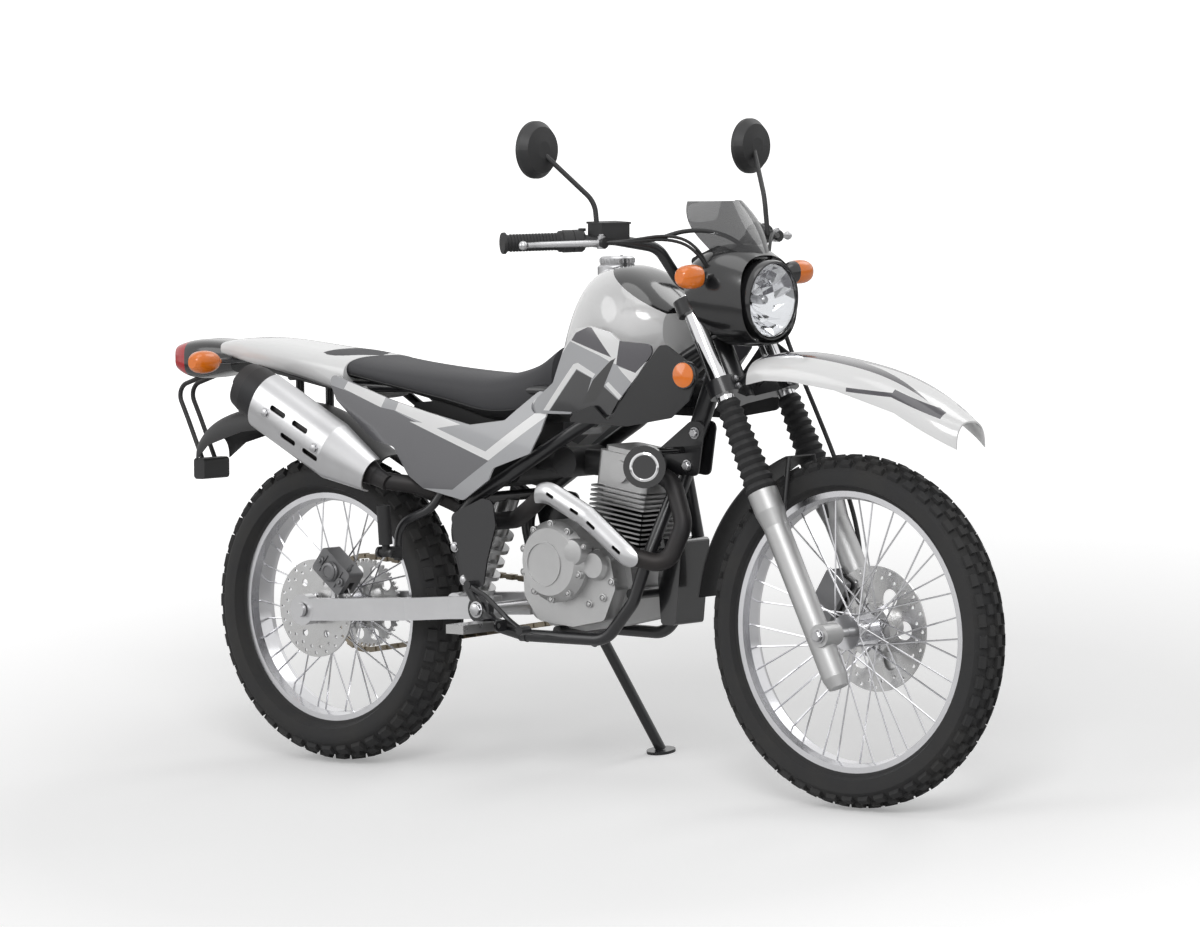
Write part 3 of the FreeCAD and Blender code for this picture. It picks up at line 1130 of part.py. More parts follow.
def make_tank_panel():
    sheet = bowed_sheet(PANEL_X_SHARES, PANEL_Z_SHARES, PANEL_HALF_WIDTH, PANEL_WIDTH_SHARES, PANEL_THICKNESS)
    panel = cut_panel(sheet, profile(PANEL_SHARES), CORNER_RADIUS)
    return with_bosses(panel, PANEL_BOSS_SHARES, PANEL_BOSS_ROOT_SHARE)


def make_shroud():
    sheet = bowed_sheet(SHROUD_X_SHARES, SHROUD_Z_SHARES, SHROUD_HALF_WIDTH, SHROUD_WIDTH_SHARES, PANEL_THICKNESS)
    outline = profile(SHROUD_SHARES[:4] + SHROUD_SHARES[5:11])
    return with_bosses(cut_panel(sheet, outline, CORNER_RADIUS), SHROUD_BOSS_SHARES, SHROUD_BOSS_ROOT_SHARE)


def make_side_cover():
    sheet = bowed_sheet(SIDE_X_SHARES, SIDE_Z_SHARES, COVER_HALF_WIDTH, SIDE_WIDTH_SHARES, PANEL_THICKNESS)
    panel = cut_panel(sheet, profile(SIDE_SHARES), CORNER_RADIUS)
    panel = panel.cut(plate(profile(PANEL_SHARES), 0, 2 * COVER_HALF_WIDTH, CORNER_RADIUS))
    return with_bosses(panel, SIDE_BOSS_SHARES, SIDE_BOSS_ROOT_SHARE)


def make_tail_cowl():
    outer = loft([upright_loop(x, low, high, TAIL_HALF_WIDTH * wide, TAIL_SQUARENESS)
                  for x, low, high, wide in TAIL_SHARES])
    return outer


def fender_shell(shares, half_width, depth, thickness):
    """An arched sheet through stations: an outer form less a smaller one, open below."""
    outer, inner = [], []
    for x, z, wide in shares:
        ridge = spot(x, 0, z)
        middle = ridge - UP * depth
        outer.append(section(middle, ACROSS, UP, half_width * wide, depth, depth, FENDER_SQUARENESS,
                             FENDER_SQUARENESS))
        inner.append(section(middle, ACROSS, UP, half_width * wide - thickness, depth - thickness, depth,
                             FENDER_SQUARENESS, FENDER_SQUARENESS))
    shell = loft(outer).cut(loft(inner))
    return shell


def make_fender(shares, half_width):
    shell = fender_shell(shares, half_width, FENDER_DEPTH, SHEET_THICKNESS)
    span = shell.BoundBox
    below = []
    for index in range(len(shares) - 1):
        (x0, z0, w0), (x1, z1, w1) = shares[index], shares[index + 1]
        low0, low1 = spot(x0, 0, z0) - UP * FENDER_DEPTH, spot(x1, 0, z1) - UP * FENDER_DEPTH
        drop = UP * (2 * FENDER_DEPTH)
        out = V(0, 2 * half_width, 0)
        corners = [low0, low1, low1 - drop, low0 - drop]
        face = Part.Face(Part.makePolygon([corner - out for corner in corners] + [corners[0] - out]))
        below.append(face.extrude(out + out))
    return shell.cut(below)


def make_rear_fender():
    return make_fender(REAR_FENDER_SHARES, REAR_FENDER_HALF_WIDTH)


def make_tail_light():
    return loft([upright_loop(x, low, high, TAIL_LIGHT_HALF_WIDTH * wide, TAIL_LIGHT_SQUARENESS)
                 for x, low, high, wide in TAIL_LIGHT_SHARES])


def make_plate_bracket():
    reflector = plate(profile(REFLECTOR_SHARES), -REFLECTOR_HALF_WIDTH, 2 * REFLECTOR_HALF_WIDTH, FIN_ROUND)
    pieces = [reflector]
    for hand in (1, -1):
        points = [point + V(0, hand * REFLECTOR_HALF_WIDTH / 2, 0) for point in profile(PLATE_STAY_SHARES)]
        pieces.append(tube(points, PLATE_STAY_WIDTH, TUBE_BEND))
    return joined(pieces)


def indicator(place, out):
    """A tear shaped lamp on a stem that points outwards."""
    loops = [section(place + out * step * INDICATOR_LENGTH, UP, V(1, 0, 0), INDICATOR_HEIGHT / 2 * size,
                     INDICATOR_DEPTH / 2 * size, INDICATOR_DEPTH / 2 * size, LAMP_SQUARENESS, LAMP_SQUARENESS,
                     INDICATOR_POINTS)
             for step, size in INDICATOR_SHARES]
    return loft(loops)


def make_rear_indicators():
    pieces = []
    for hand in (1, -1):
        place = spot(REAR_INDICATOR_SHARES[0], hand * REAR_INDICATOR_SIDE, REAR_INDICATOR_SHARES[1])
        root = V(place.x, 0, place.z)
        pieces.append(joined([indicator(place, ACROSS * hand),
                              rod(root, place + ACROSS * (hand * OVERRUN), INDICATOR_STEM)]))
    return joined(pieces)


def caliper(centre, disc_side, tilt):
    """A block over the disc's edge with a slot that the disc runs in."""
    block = Part.makeBox(CALIPER_LENGTH, CALIPER_WIDTH, CALIPER_HEIGHT,
                         V(-CALIPER_LENGTH / 2, -CALIPER_WIDTH / 2, -CALIPER_HEIGHT / 2))
    block = block.makeFillet(FIN_ROUND, [edge for edge in block.Edges if edge.BoundBox.YLength > FIN_ROUND])
    slot = Part.makeBox(CALIPER_LENGTH + 2 * OVERRUN, CALIPER_SLOT, CALIPER_DEPTH,
                        V(-CALIPER_LENGTH / 2 - OVERRUN, -CALIPER_SLOT / 2, -CALIPER_HEIGHT / 2 - OVERRUN))
    body = block.cut(slot)
    body.rotate(ORIGIN, ACROSS, tilt)
    body.translate(V(centre.x, disc_side, centre.z))
    return body


def make_rear_caliper():
    ahead, up = REAR_CALIPER_SHARES
    centre = REAR_AXLE + V(REAR_DISC_RADIUS * ahead, 0, REAR_DISC_RADIUS * up)
    return caliper(centre, -REAR_DISC_SIDE, REAR_CALIPER_TILT)


def make_brake_pedal():
    points = [spot(x, -side * FRAME_HALF_WIDTH, z) for x, side, z in PEDAL_SHARES]
    arm = tube(points, PLATE_STAY_WIDTH, TUBE_BEND)
    tip = points[-1]
    pad = rod(tip - ACROSS * (PEG_HEIGHT / 2), tip + ACROSS * PEG_HEIGHT, PEG_HEIGHT)
    side = FRAME_REAR_HALF_WIDTH + MAIN_TUBE / 2
    shaft = rod(V(points[0].x, -side, points[0].z), points[0] - ACROSS * OVERRUN, PEG_HEIGHT)
    return joined([arm, pad, shaft])


def make_gear_lever():
    root = spot(LEVER_SHARES[0][0], CASE_LEFT_WIDTH + COVER_BASE, LEVER_SHARES[0][1])
    knee, tip = [point + ACROSS * PEG_SIDE for point in profile(LEVER_SHARES)]
    return joined([tube([root, knee, tip], PLATE_STAY_WIDTH, TUBE_BEND / 2),
                   rod(tip - ACROSS * (PEG_HEIGHT / 2), tip + ACROSS * PEG_HEIGHT, PEG_HEIGHT)])


def make_heel_plate():
    side = FRAME_REAR_HALF_WIDTH + MAIN_TUBE / 2 + PIVOT_BOSS_WIDTH / 2
    sheet = plate(profile(HEEL_SHARES), side, PANEL_THICKNESS, CORNER_RADIUS)
    bosses = [rod(spot(x, FRAME_REAR_HALF_WIDTH, z), spot(x, side + PANEL_THICKNESS / 2, z), PEG_HEIGHT)
              for x, z in HEEL_BOLT_SHARES]
    return joined([sheet] + bosses)


def make_horn():
    face = spot(HORN_SHARES[0], HORN_SHARES[1] * FRAME_HALF_WIDTH, HORN_SHARES[2])
    back = face - unit(HORN_FACING) * HORN_DEPTH
    top, low = frame_spots(DOWN_SHARES)
    anchor = low + (top - low) * HORN_BRACKET_SHARE
    return joined([rod(back, face, HORN_DIAMETER),
                   rod(V(back.x, back.y - OVERRUN, anchor.z), anchor, STAND_BOLT_DIAMETER)])


def make_canister():
    return plate(profile(CANISTER_SHARES), -CANISTER_HALF_WIDTH, 2 * CANISTER_HALF_WIDTH, FIN_ROUND)


# Steering

def clamp(height):
    """A fork clamp: a stem boss, two eyes and the arms between them."""
    top = AXIS_UP * CLAMP_THICKNESS
    pieces = [Part.makeCylinder(CLAMP_STEM_DIAMETER / 2, CLAMP_THICKNESS, steer(0, 0, height), AXIS_UP)]
    for hand in (1, -1):
        eye = steer(FORK_OFFSET, hand * FORK_HALF_SPACING, height)
        pieces.append(Part.makeCylinder(CLAMP_EYE_DIAMETER / 2, CLAMP_THICKNESS, eye, AXIS_UP))
        half = CLAMP_ARM_WIDTH / 2
        corners = [steer(half, 0, height), steer(-half, 0, height),
                   steer(FORK_OFFSET - half, hand * FORK_HALF_SPACING, height),
                   steer(FORK_OFFSET + half, hand * FORK_HALF_SPACING, height)]
        pieces.append(Part.Face(Part.makePolygon(corners + [corners[0]])).extrude(top))
    bores = []
    for hand in (1, -1):
        start = steer(FORK_OFFSET, hand * FORK_HALF_SPACING, height - OVERRUN)
        bores.append(Part.makeCylinder(FORK_TUBE_DIAMETER / 2, CLAMP_THICKNESS + 2 * OVERRUN, start, AXIS_UP))
    return joined(pieces).cut(bores)


def make_steering_stem():
    stem = rod(steer(0, 0, CLAMP_LOWER_HEIGHT + OVERRUN), steer(0, 0, CLAMP_UPPER_HEIGHT + CLAMP_THICKNESS + OVERRUN),
               STEM_DIAMETER)
    nut = rod(steer(0, 0, CLAMP_UPPER_HEIGHT + CLAMP_THICKNESS), steer(0, 0, CLAMP_UPPER_HEIGHT + 2 * CLAMP_THICKNESS
                                                                       - STEM_DIAMETER / 2), STEM_DIAMETER + OVERRUN)
    risers = []
    for hand in (1, -1):
        foot = steer(BAR_FORWARD, hand * RISER_HALF_SPACING, CLAMP_UPPER_HEIGHT + OVERRUN)
        top = steer(BAR_FORWARD, hand * RISER_HALF_SPACING, BAR_CLAMP_HEIGHT)
        risers.append(rod(foot, top, RISER_DIAMETER))
        risers.append(rod(top - ACROSS * (RISER_DIAMETER / 2), top + ACROSS * (RISER_DIAMETER / 2),
                          BAR_DIAMETER + 2 * OVERRUN))
    bar_bore = rod(steer(BAR_FORWARD, -FORK_HALF_SPACING, BAR_CLAMP_HEIGHT),
                   steer(BAR_FORWARD, FORK_HALF_SPACING, BAR_CLAMP_HEIGHT), BAR_DIAMETER + RUNNING_GAP)
    braces = []
    for hand in (1, -1):
        start = steer(0, hand * RISER_HALF_SPACING, CLAMP_LOWER_HEIGHT + CLAMP_THICKNESS / 2)
        braces.append(rod(start, steer(BRACE_FORWARD, hand * RISER_HALF_SPACING, BRACE_HEIGHT), STAND_BOLT_DIAMETER))
    return joined([stem, nut, clamp(CLAMP_LOWER_HEIGHT), clamp(CLAMP_UPPER_HEIGHT)] + risers + braces).cut(bar_bore)


def make_fork_tubes():
    return Part.makeCompound([rod(steer(FORK_OFFSET, hand * FORK_HALF_SPACING, FORK_LEG_TOP),
                                  steer(FORK_OFFSET, hand * FORK_HALF_SPACING, FORK_TUBE_TOP), FORK_TUBE_DIAMETER)
                              for hand in (1, -1)])


def make_fork_leg(hand):
    """A lower leg with its flared collar and the axle lug ahead of it."""
    centre = steer(FORK_OFFSET, hand * FORK_HALF_SPACING, FORK_LEG_BOTTOM)
    length = FORK_LEG_TOP - FORK_LEG_BOTTOM
    half, collar = FORK_LEG_DIAMETER / 2, FORK_LEG_COLLAR / 2
    foot, foot_top, neck, shoulder = FORK_LEG_SHARES
    leg = turned([(0, 0), (half * foot, 0), (half, length * foot_top), (half, length * neck),
                  (collar, length * shoulder), (collar, length), (0, length)], centre, AXIS_UP)
    lug_centre = V(WHEELBASE, hand * FORK_HALF_SPACING, FRONT_TYRE_RADIUS)
    half_lug = FORK_LEG_DIAMETER / 2
    lug = rod(lug_centre - ACROSS * half_lug, lug_centre + ACROSS * half_lug, AXLE_LUG_DIAMETER)
    return joined([leg, lug])


def make_fork_legs():
    legs = [make_fork_leg(1), make_fork_leg(-1)]
    axle = rod(FRONT_AXLE - ACROSS * FRONT_AXLE_HALF_LENGTH, FRONT_AXLE + ACROSS * FRONT_AXLE_HALF_LENGTH,
               AXLE_DIAMETER)
    return joined(legs + [axle])


def make_fork_boots():
    boots = []
    start, end = FORK_LEG_TOP, BOOT_TOP
    pitch = (end - start) / BOOT_FOLDS
    for hand in (1, -1):
        outline = [(FORK_TUBE_DIAMETER / 2, 0)]
        for fold in range(BOOT_FOLDS):
            size = BOOT_LARGE_DIAMETER + (BOOT_SMALL_DIAMETER - BOOT_LARGE_DIAMETER) * fold / (BOOT_FOLDS - 1)
            outline += [(size / 2 - BOOT_FOLD_DEPTH, fold * pitch), (size / 2, (fold + RUN_SHARE) * pitch)]
        outline += [(BOOT_SMALL_DIAMETER / 2 - BOOT_FOLD_DEPTH, end - start), (FORK_TUBE_DIAMETER / 2, end - start)]
        boots.append(turned(outline, steer(FORK_OFFSET, hand * FORK_HALF_SPACING, start), AXIS_UP))
    return Part.makeCompound(boots)


def bar_points(hand):
    """Handlebar places: ahead, out and up from its clamp."""
    middle = steer(BAR_FORWARD, 0, BAR_CLAMP_HEIGHT)
    return [middle + V(BAR_SWEEP * ahead, hand * BAR_HALF_WIDTH * out, BAR_RISE * up)
            for ahead, out, up in BAR_PLACE_SHARES]


def make_handlebar():
    left, right = bar_points(1), bar_points(-1)
    return tube(list(reversed(right)) + left, BAR_DIAMETER, BAR_BEND)


def make_grips():
    grips = []
    for hand in (1, -1):
        points = bar_points(hand)
        along = unit(points[-2] - points[-1])
        end = points[-1] - along * OVERRUN
        outline = [(0, 0), (GRIP_END_DIAMETER / 2, 0), (GRIP_END_DIAMETER / 2, OVERRUN),
                   (GRIP_DIAMETER / 2, 2 * OVERRUN), (GRIP_DIAMETER / 2, GRIP_LENGTH - OVERRUN),
                   (GRIP_END_DIAMETER / 2, GRIP_LENGTH), (0, GRIP_LENGTH)]
        grip = turned(outline, end, along)
        grips.append(grip.cut(rod(points[-1], points[-2], BAR_DIAMETER)))
    return Part.makeCompound(grips)


def make_controls():
    """Switch housings, perches and levers, one set on each side."""
    sets = []
    for hand in (1, -1):
        points = bar_points(hand)
        along = unit(points[-2] - points[-1])
        start = points[-1] + along * (GRIP_LENGTH - OVERRUN)
        housing = rod(start, start + along * HOUSING_LENGTH, HOUSING_DIAMETER)
        ahead = unit(AXIS_FORWARD - UP * LEVER_DROP_SHARE)
        perch_foot = start + along * (HOUSING_LENGTH - OVERRUN)
        perch = rod(perch_foot, perch_foot + ahead * LEVER_REACH, HOUSING_DIAMETER / 2)
        pivot = perch_foot + ahead * (LEVER_REACH - LEVER_THICKNESS)
        tip = pivot - along * LEVER_LENGTH + ahead * LEVER_THICKNESS
        lever = rod(pivot, tip, LEVER_THICKNESS)
        ball = Part.makeSphere(LEVER_BALL / 2, tip)
        bore = rod(points[-1], points[-2], BAR_DIAMETER)
        sets.append(joined([housing, perch, lever, ball]).cut(bore))
    return Part.makeCompound(sets)


def make_mirrors():
    mirrors = []
    for hand in (1, -1):
        points = bar_points(hand)
        along = unit(points[-2] - points[-1])
        foot = points[-1] + along * (GRIP_LENGTH + HOUSING_LENGTH)
        ahead = unit(AXIS_FORWARD - UP * LEVER_DROP_SHARE)
        root = foot + ahead * (LEVER_REACH / 2)
        knee = V(MIRROR_KNEE_SHARES[0] * WHEELBASE, root.y, MIRROR_KNEE_SHARES[1] * SEAT_HEIGHT)
        centre = spot(MIRROR_SHARES[0], hand * MIRROR_SIDE, MIRROR_SHARES[1])
        stem = tube([root, knee, centre + V(MIRROR_DEPTH / 2, 0, 0)], MIRROR_STEM_DIAMETER, BAR_BEND)
        half = MIRROR_DIAMETER / 2
        head = turned([(half * reach, MIRROR_DEPTH * back) for reach, back in MIRROR_HEAD_SHARES], centre, V(1, 0, 0))
        mirrors.append(joined([stem, head]))
    return Part.makeCompound(mirrors)


def make_headlight():
    face = spot(HEADLIGHT_SHARES[0], 0, HEADLIGHT_SHARES[1])
    half = HEADLIGHT_DIAMETER / 2
    lamp = turned([(half * reach, -HEADLIGHT_DEPTH * back) for reach, back in LAMP_SHELL_SHARES], face,
                  unit(V(1, 0, -LAMP_DIP_SHARE)))
    arms = [rod(face + V(-HEADLIGHT_DEPTH / 2, hand * half / 2, -half / 2),
                steer(FORK_OFFSET, hand * FORK_HALF_SPACING, LAMP_ARM_HEIGHT), STAND_BOLT_DIAMETER)
            for hand in (1, -1)]
    return joined([lamp] + arms)


def make_cowl():
    outer = loft([upright_loop(x, low, high, COWL_HALF_WIDTH * wide, LAMP_SQUARENESS)
                  for x, low, high, wide in COWL_SHARES])
    inner = loft([upright_loop(x + shift, low + COWL_WALL_SHARE, high - COWL_WALL_SHARE,
                               COWL_HALF_WIDTH * wide - PANEL_THICKNESS, LAMP_SQUARENESS)
                  for (x, low, high, wide), shift in zip(COWL_SHARES, COWL_SHIFT_SHARES)])
    ahead = FORK_OFFSET + FORK_TUBE_DIAMETER / 2 + RUNNING_GAP
    reach = 2 * COWL_HALF_WIDTH
    corners = [steer(-reach, 0, 0), steer(ahead, 0, 0), steer(ahead, 0, WHEELBASE), steer(-reach, 0, WHEELBASE)]
    behind = Part.Face(Part.makePolygon(corners + [corners[0]])).translated(V(0, -reach, 0))
    return outer.cut(inner).cut(behind.extrude(V(0, 2 * reach, 0)))


def make_windscreen():
    """A thin screen bowed round the front, drawn from curves across it."""
    def sheet(inset):
        rows = []
        for x, z, wide in SCREEN_SHARES:
            row = []
            for share in SCREEN_ACROSS_SHARES:
                row.append(spot(x, SCREEN_HALF_WIDTH * wide * share, z) - V(SCREEN_BOW * share ** 2 + inset, 0, 0))
            rows.append(row)
        surface = Part.BSplineSurface()
        surface.interpolate(rows)
        return surface.toShape()
    return sheet(0).extrude(V(-SHEET_THICKNESS, 0, 0))


def make_front_indicators():
    pieces = []
    for hand in (1, -1):
        place = spot(FRONT_INDICATOR_SHARES[0], hand * FRONT_INDICATOR_SIDE, FRONT_INDICATOR_SHARES[1])
        root = V(place.x, hand * COWL_HALF_WIDTH * COWL_ROOT_SHARE, place.z)
        pieces.append(joined([indicator(place, ACROSS * hand), rod(root, place + ACROSS * (hand * OVERRUN),
                                                                   INDICATOR_STEM)]))
    return Part.makeCompound(pieces)


def make_instrument():
    return plate(profile(INSTRUMENT_SHARES), -INSTRUMENT_HALF_WIDTH, 2 * INSTRUMENT_HALF_WIDTH, FIN_ROUND)


def make_front_fender():
    return make_fender(FRONT_FENDER_SHARES, FENDER_HALF_WIDTH)


def make_mudguard():
    """A narrow strip that follows the tyre behind the wheel, with a strut to each lower leg."""
    outer = Part.makeCylinder(MUDGUARD_RADIUS + SHEET_THICKNESS, 2 * MUDGUARD_HALF_WIDTH,
                              FRONT_AXLE - ACROSS * MUDGUARD_HALF_WIDTH, ACROSS, FULL_TURN)
    inner = Part.makeCylinder(MUDGUARD_RADIUS, 4 * MUDGUARD_HALF_WIDTH,
                              FRONT_AXLE - ACROSS * (2 * MUDGUARD_HALF_WIDTH), ACROSS, FULL_TURN)
    reach = 2 * MUDGUARD_RADIUS
    corners = [FRONT_AXLE]
    for angle in (MUDGUARD_START, (MUDGUARD_START + MUDGUARD_END) / 2, MUDGUARD_END):
        turn = math.radians(angle)
        corners.append(FRONT_AXLE + V(reach * math.cos(turn), 0, reach * math.sin(turn)))
    face = Part.Face(Part.makePolygon(corners + [corners[0]]))
    wedge = face.translated(V(0, -reach, 0)).extrude(V(0, 2 * reach, 0))
    strip = outer.cut(inner).common(wedge)
    turn = math.radians(MUDGUARD_START)
    top = FRONT_AXLE + V(math.cos(turn), 0, math.sin(turn)) * (MUDGUARD_RADIUS + SHEET_THICKNESS / 2)
    brace_height = (FORK_LEG_TOP - FORK_LEG_BOTTOM) * BRACE_SHARE + FORK_LEG_BOTTOM
    struts = []
    for hand in (1, -1):
        leg = steer(FORK_OFFSET, hand * (FORK_HALF_SPACING - FORK_LEG_DIAMETER / 2), brace_height)
        struts.append(rod(V(top.x, hand * MUDGUARD_HALF_WIDTH * STRUT_SHARE, top.z), leg, PLATE_STAY_WIDTH))
    return joined([strip] + struts)


def make_front_caliper():
    ahead, up = FRONT_CALIPER_SHARES
    centre = FRONT_AXLE + V(FRONT_DISC_RADIUS * ahead, 0, FRONT_DISC_RADIUS * up)
    return caliper(centre, FRONT_DISC_SIDE, FRONT_CALIPER_TILT)


# Side stand and pegs


def stand_pivot():
    return spot(STAND_PIVOT_SHARES[0], STAND_PIVOT_SHARES[1] * FRAME_HALF_WIDTH, STAND_PIVOT_SHARES[2])


def stand_tip():
    """The end of the deployed leg, on the floor of the leaned machine."""
    pivot = stand_pivot()
    side = STAND_TIP_SIDE
    height = side * math.tan(LEAN) + (STAND_FOOT_THICKNESS - LIFT) / math.cos(LEAN)
    return V(pivot.x + STAND_FORWARD_SHARE * STAND_LENGTH, side, height)


# The middle lugs have flat tops, so a leaned tyre stands on their edges.


def make_side_stand():
    pivot, tip = stand_pivot(), stand_tip()
    leg = rod(pivot, tip, STAND_DIAMETER)
    axis = stand_axis()
    boss = rod(pivot - axis * (STAND_DIAMETER / 2), pivot + axis * (STAND_DIAMETER / 2), STAND_PIVOT_DIAMETER)
    floor_up = V(0, -math.sin(LEAN), math.cos(LEAN))
    foot = Part.makeCylinder(STAND_FOOT_RADIUS, STAND_FOOT_THICKNESS, tip - floor_up * STAND_FOOT_THICKNESS, floor_up)
    bolt = rod(pivot - axis * STAND_PIVOT_DIAMETER, pivot + axis * STAND_PIVOT_DIAMETER,
               STAND_BOLT_DIAMETER + 2 * RUNNING_GAP)
    return joined([leg, boss, foot]).cut(bolt)


def stand_axis():
    """The hinge line: square to the leg when it is down and when it is up."""
    down = unit(stand_tip() - stand_pivot())
    away = unit(V(*STAND_AWAY_SHARES))
    return unit(down.cross(away))


def hinge_knuckle(pivot):
    """The boss that fits between two ears, with its pin."""
    half = V(EAR_HALF_GAP - RUNNING_GAP, 0, 0)
    pin = V(EAR_HALF_GAP + EAR_THICKNESS + RUNNING_GAP, 0, 0)
    return [rod(pivot - half, pivot + half, 2 * EAR_RADIUS - EAR_THICKNESS),
            rod(pivot - pin, pivot + pin, PEG_PIN_DIAMETER)]


def make_peg(hand):
    pivot = peg_pivot(hand)
    out = ACROSS * hand
    start = EAR_RADIUS + EAR_THICKNESS
    tread = Part.makeBox(PEG_WIDTH, PEG_LENGTH, PEG_HEIGHT, V(-PEG_WIDTH / 2, start, -PEG_HEIGHT / 2))
    if hand < 0:
        tread = beside(tread)
    tread.translate(pivot)
    neck = rod(pivot, pivot + out * (start + EAR_THICKNESS), 2 * EAR_RADIUS - EAR_THICKNESS)
    return joined([tread, neck] + hinge_knuckle(pivot))


def peg_pivot(hand):
    return spot(PEG_X_SHARE, hand * PEG_SIDE, PEG_Z_SHARE)


def make_passenger_bracket():
    start, middle, low = [point + V(0, PASSENGER_BRACKET_SIDE, 0) for point in profile(PASSENGER_SHARES)]
    upper = spot(PASSENGER_ROOT_SHARES[0], FRAME_REAR_HALF_WIDTH, PASSENGER_ROOT_SHARES[1])
    pivot = passenger_pivot(1)
    return joined([tube([upper, start, middle, low], STAY_TUBE, TUBE_BEND), clevis(pivot, 1, V(low.x, low.y, pivot.z))])


def make_passenger_peg(hand):
    """A round peg folded up against its bracket."""
    pivot = passenger_pivot(hand)
    away = unit(V(0, PASSENGER_PEG_OUT_SHARE * hand, 1))
    foot = pivot + away * (EAR_RADIUS + EAR_THICKNESS)
    top = pivot + away * PASSENGER_PEG_LENGTH
    neck = 2 * EAR_RADIUS - EAR_THICKNESS
    return joined([rod(foot, top, PASSENGER_PEG_DIAMETER), rod(pivot, foot + away * EAR_THICKNESS, neck)]
                  + hinge_knuckle(pivot))


def passenger_pivot(hand):
    return spot(PASSENGER_PIVOT_SHARES[0], hand * PASSENGER_PEG_SIDE, PASSENGER_PIVOT_SHARES[1])


# Assembly

def placed(shape, place):
    return shape.translated(place)


def build():
    nodes = {
        "frame_main": make_frame(),
        "swingarm": make_swingarm(),
        "rear_shock": make_shock(),
        "crankcase": make_crankcase(),
        "engine_covers": Part.makeCompound([make_clutch_cover(), make_stator_cover()]),
        "cylinder": make_cylinder(),
        "cylinder_head": make_cylinder_head(),
        "intake": joined([make_throttle_body(), make_air_box()]),
        "header_pipe": make_header(),
        "header_shield": make_header_shield(),
        "muffler": make_muffler(),
        "muffler_guard": make_muffler_guard(),
        "fuel_tank": make_tank(),
        "fuel_cap": make_cap(),
        "seat": make_seat(),
        "tail_cowl": make_tail_cowl(),
        "rear_fender": make_rear_fender(),
        "tail_light": make_tail_light(),
        "plate_bracket": make_plate_bracket(),
        "rear_indicators": make_rear_indicators(),
        "rear_caliper": make_rear_caliper(),
        "chain": make_chain(),
        "foot_controls": Part.makeCompound([make_brake_pedal(), make_gear_lever()]),
        "horn": make_horn(),
        "canister": make_canister(),
        "steering_stem": make_steering_stem(),
        "fork_tubes": make_fork_tubes(),
        "fork_legs": make_fork_legs(),
        "fork_boots": make_fork_boots(),
        "handlebar": make_handlebar(),
        "grips": make_grips(),
        "hand_controls": make_controls(),
        "mirrors": make_mirrors(),
        "headlight": make_headlight(),
        "headlight_cowl": make_cowl(),
        "windscreen": make_windscreen(),
        "front_indicators": make_front_indicators(),
        "instrument": make_instrument(),
        "front_fender": make_front_fender(),
        "fork_mudguard": make_mudguard(),
        "front_caliper": make_front_caliper(),
        "side_stand": make_side_stand(),
        "peg_brackets": Part.makeCompound(both(make_heel_plate()) + both(make_passenger_bracket())),
        "front_tyre": placed(make_tyre(FRONT_TYRE_RADIUS, FRONT_TYRE_WIDTH, FRONT_CROWN_RADIUS, FRONT_RIM_RADIUS,
                                       FRONT_RIM_WIDTH), FRONT_AXLE),
        "front_rim": placed(make_wheel(FRONT_RIM_RADIUS, FRONT_RIM_WIDTH, FRONT_HUB_HALF_WIDTH), FRONT_AXLE),
        "front_disc": placed(make_disc(FRONT_DISC_RADIUS, FRONT_DISC_SIDE, SPROCKET_HUB_RADIUS,
                                       FRONT_HUB_HALF_WIDTH), FRONT_AXLE),
        "rear_tyre": placed(make_tyre(REAR_TYRE_RADIUS, REAR_TYRE_WIDTH, REAR_CROWN_RADIUS, REAR_RIM_RADIUS,
                                      REAR_RIM_WIDTH), REAR_AXLE),
        "rear_rim": placed(make_wheel(REAR_RIM_RADIUS, REAR_RIM_WIDTH, REAR_HUB_HALF_WIDTH), REAR_AXLE),
        "rear_disc": placed(make_disc(REAR_DISC_RADIUS, -REAR_DISC_SIDE, SPROCKET_HUB_RADIUS,
                                      -REAR_HUB_HALF_WIDTH), REAR_AXLE),
        "sprocket": placed(make_sprocket(), REAR_AXLE),
    }
    for side, hand in (("left", 1), ("right", -1)):
        nodes["tank_panel_" + side] = make_tank_panel() if hand > 0 else beside(make_tank_panel())
        nodes["shroud_" + side] = make_shroud() if hand > 0 else beside(make_shroud())
        nodes["side_cover_" + side] = make_side_cover() if hand > 0 else beside(make_side_cover())
        nodes["peg_" + side] = make_peg(hand)
        nodes["passenger_peg_" + side] = make_passenger_peg(hand)
    for piece, carriers in SEATS:
        nodes[piece] = fitted(nodes[piece], [nodes[name] for name in carriers])
    return nodes


def fitted(shape, carriers):
    """A piece cut to its carriers, each of its solids keeping its largest part."""
    kept = []
    for solid in shape.Solids:
        parts = solid.cut(carriers).Solids
        kept.append(max(parts, key=lambda part: part.Volume))
    return kept[0] if len(kept) == 1 else Part.makeCompound(kept)


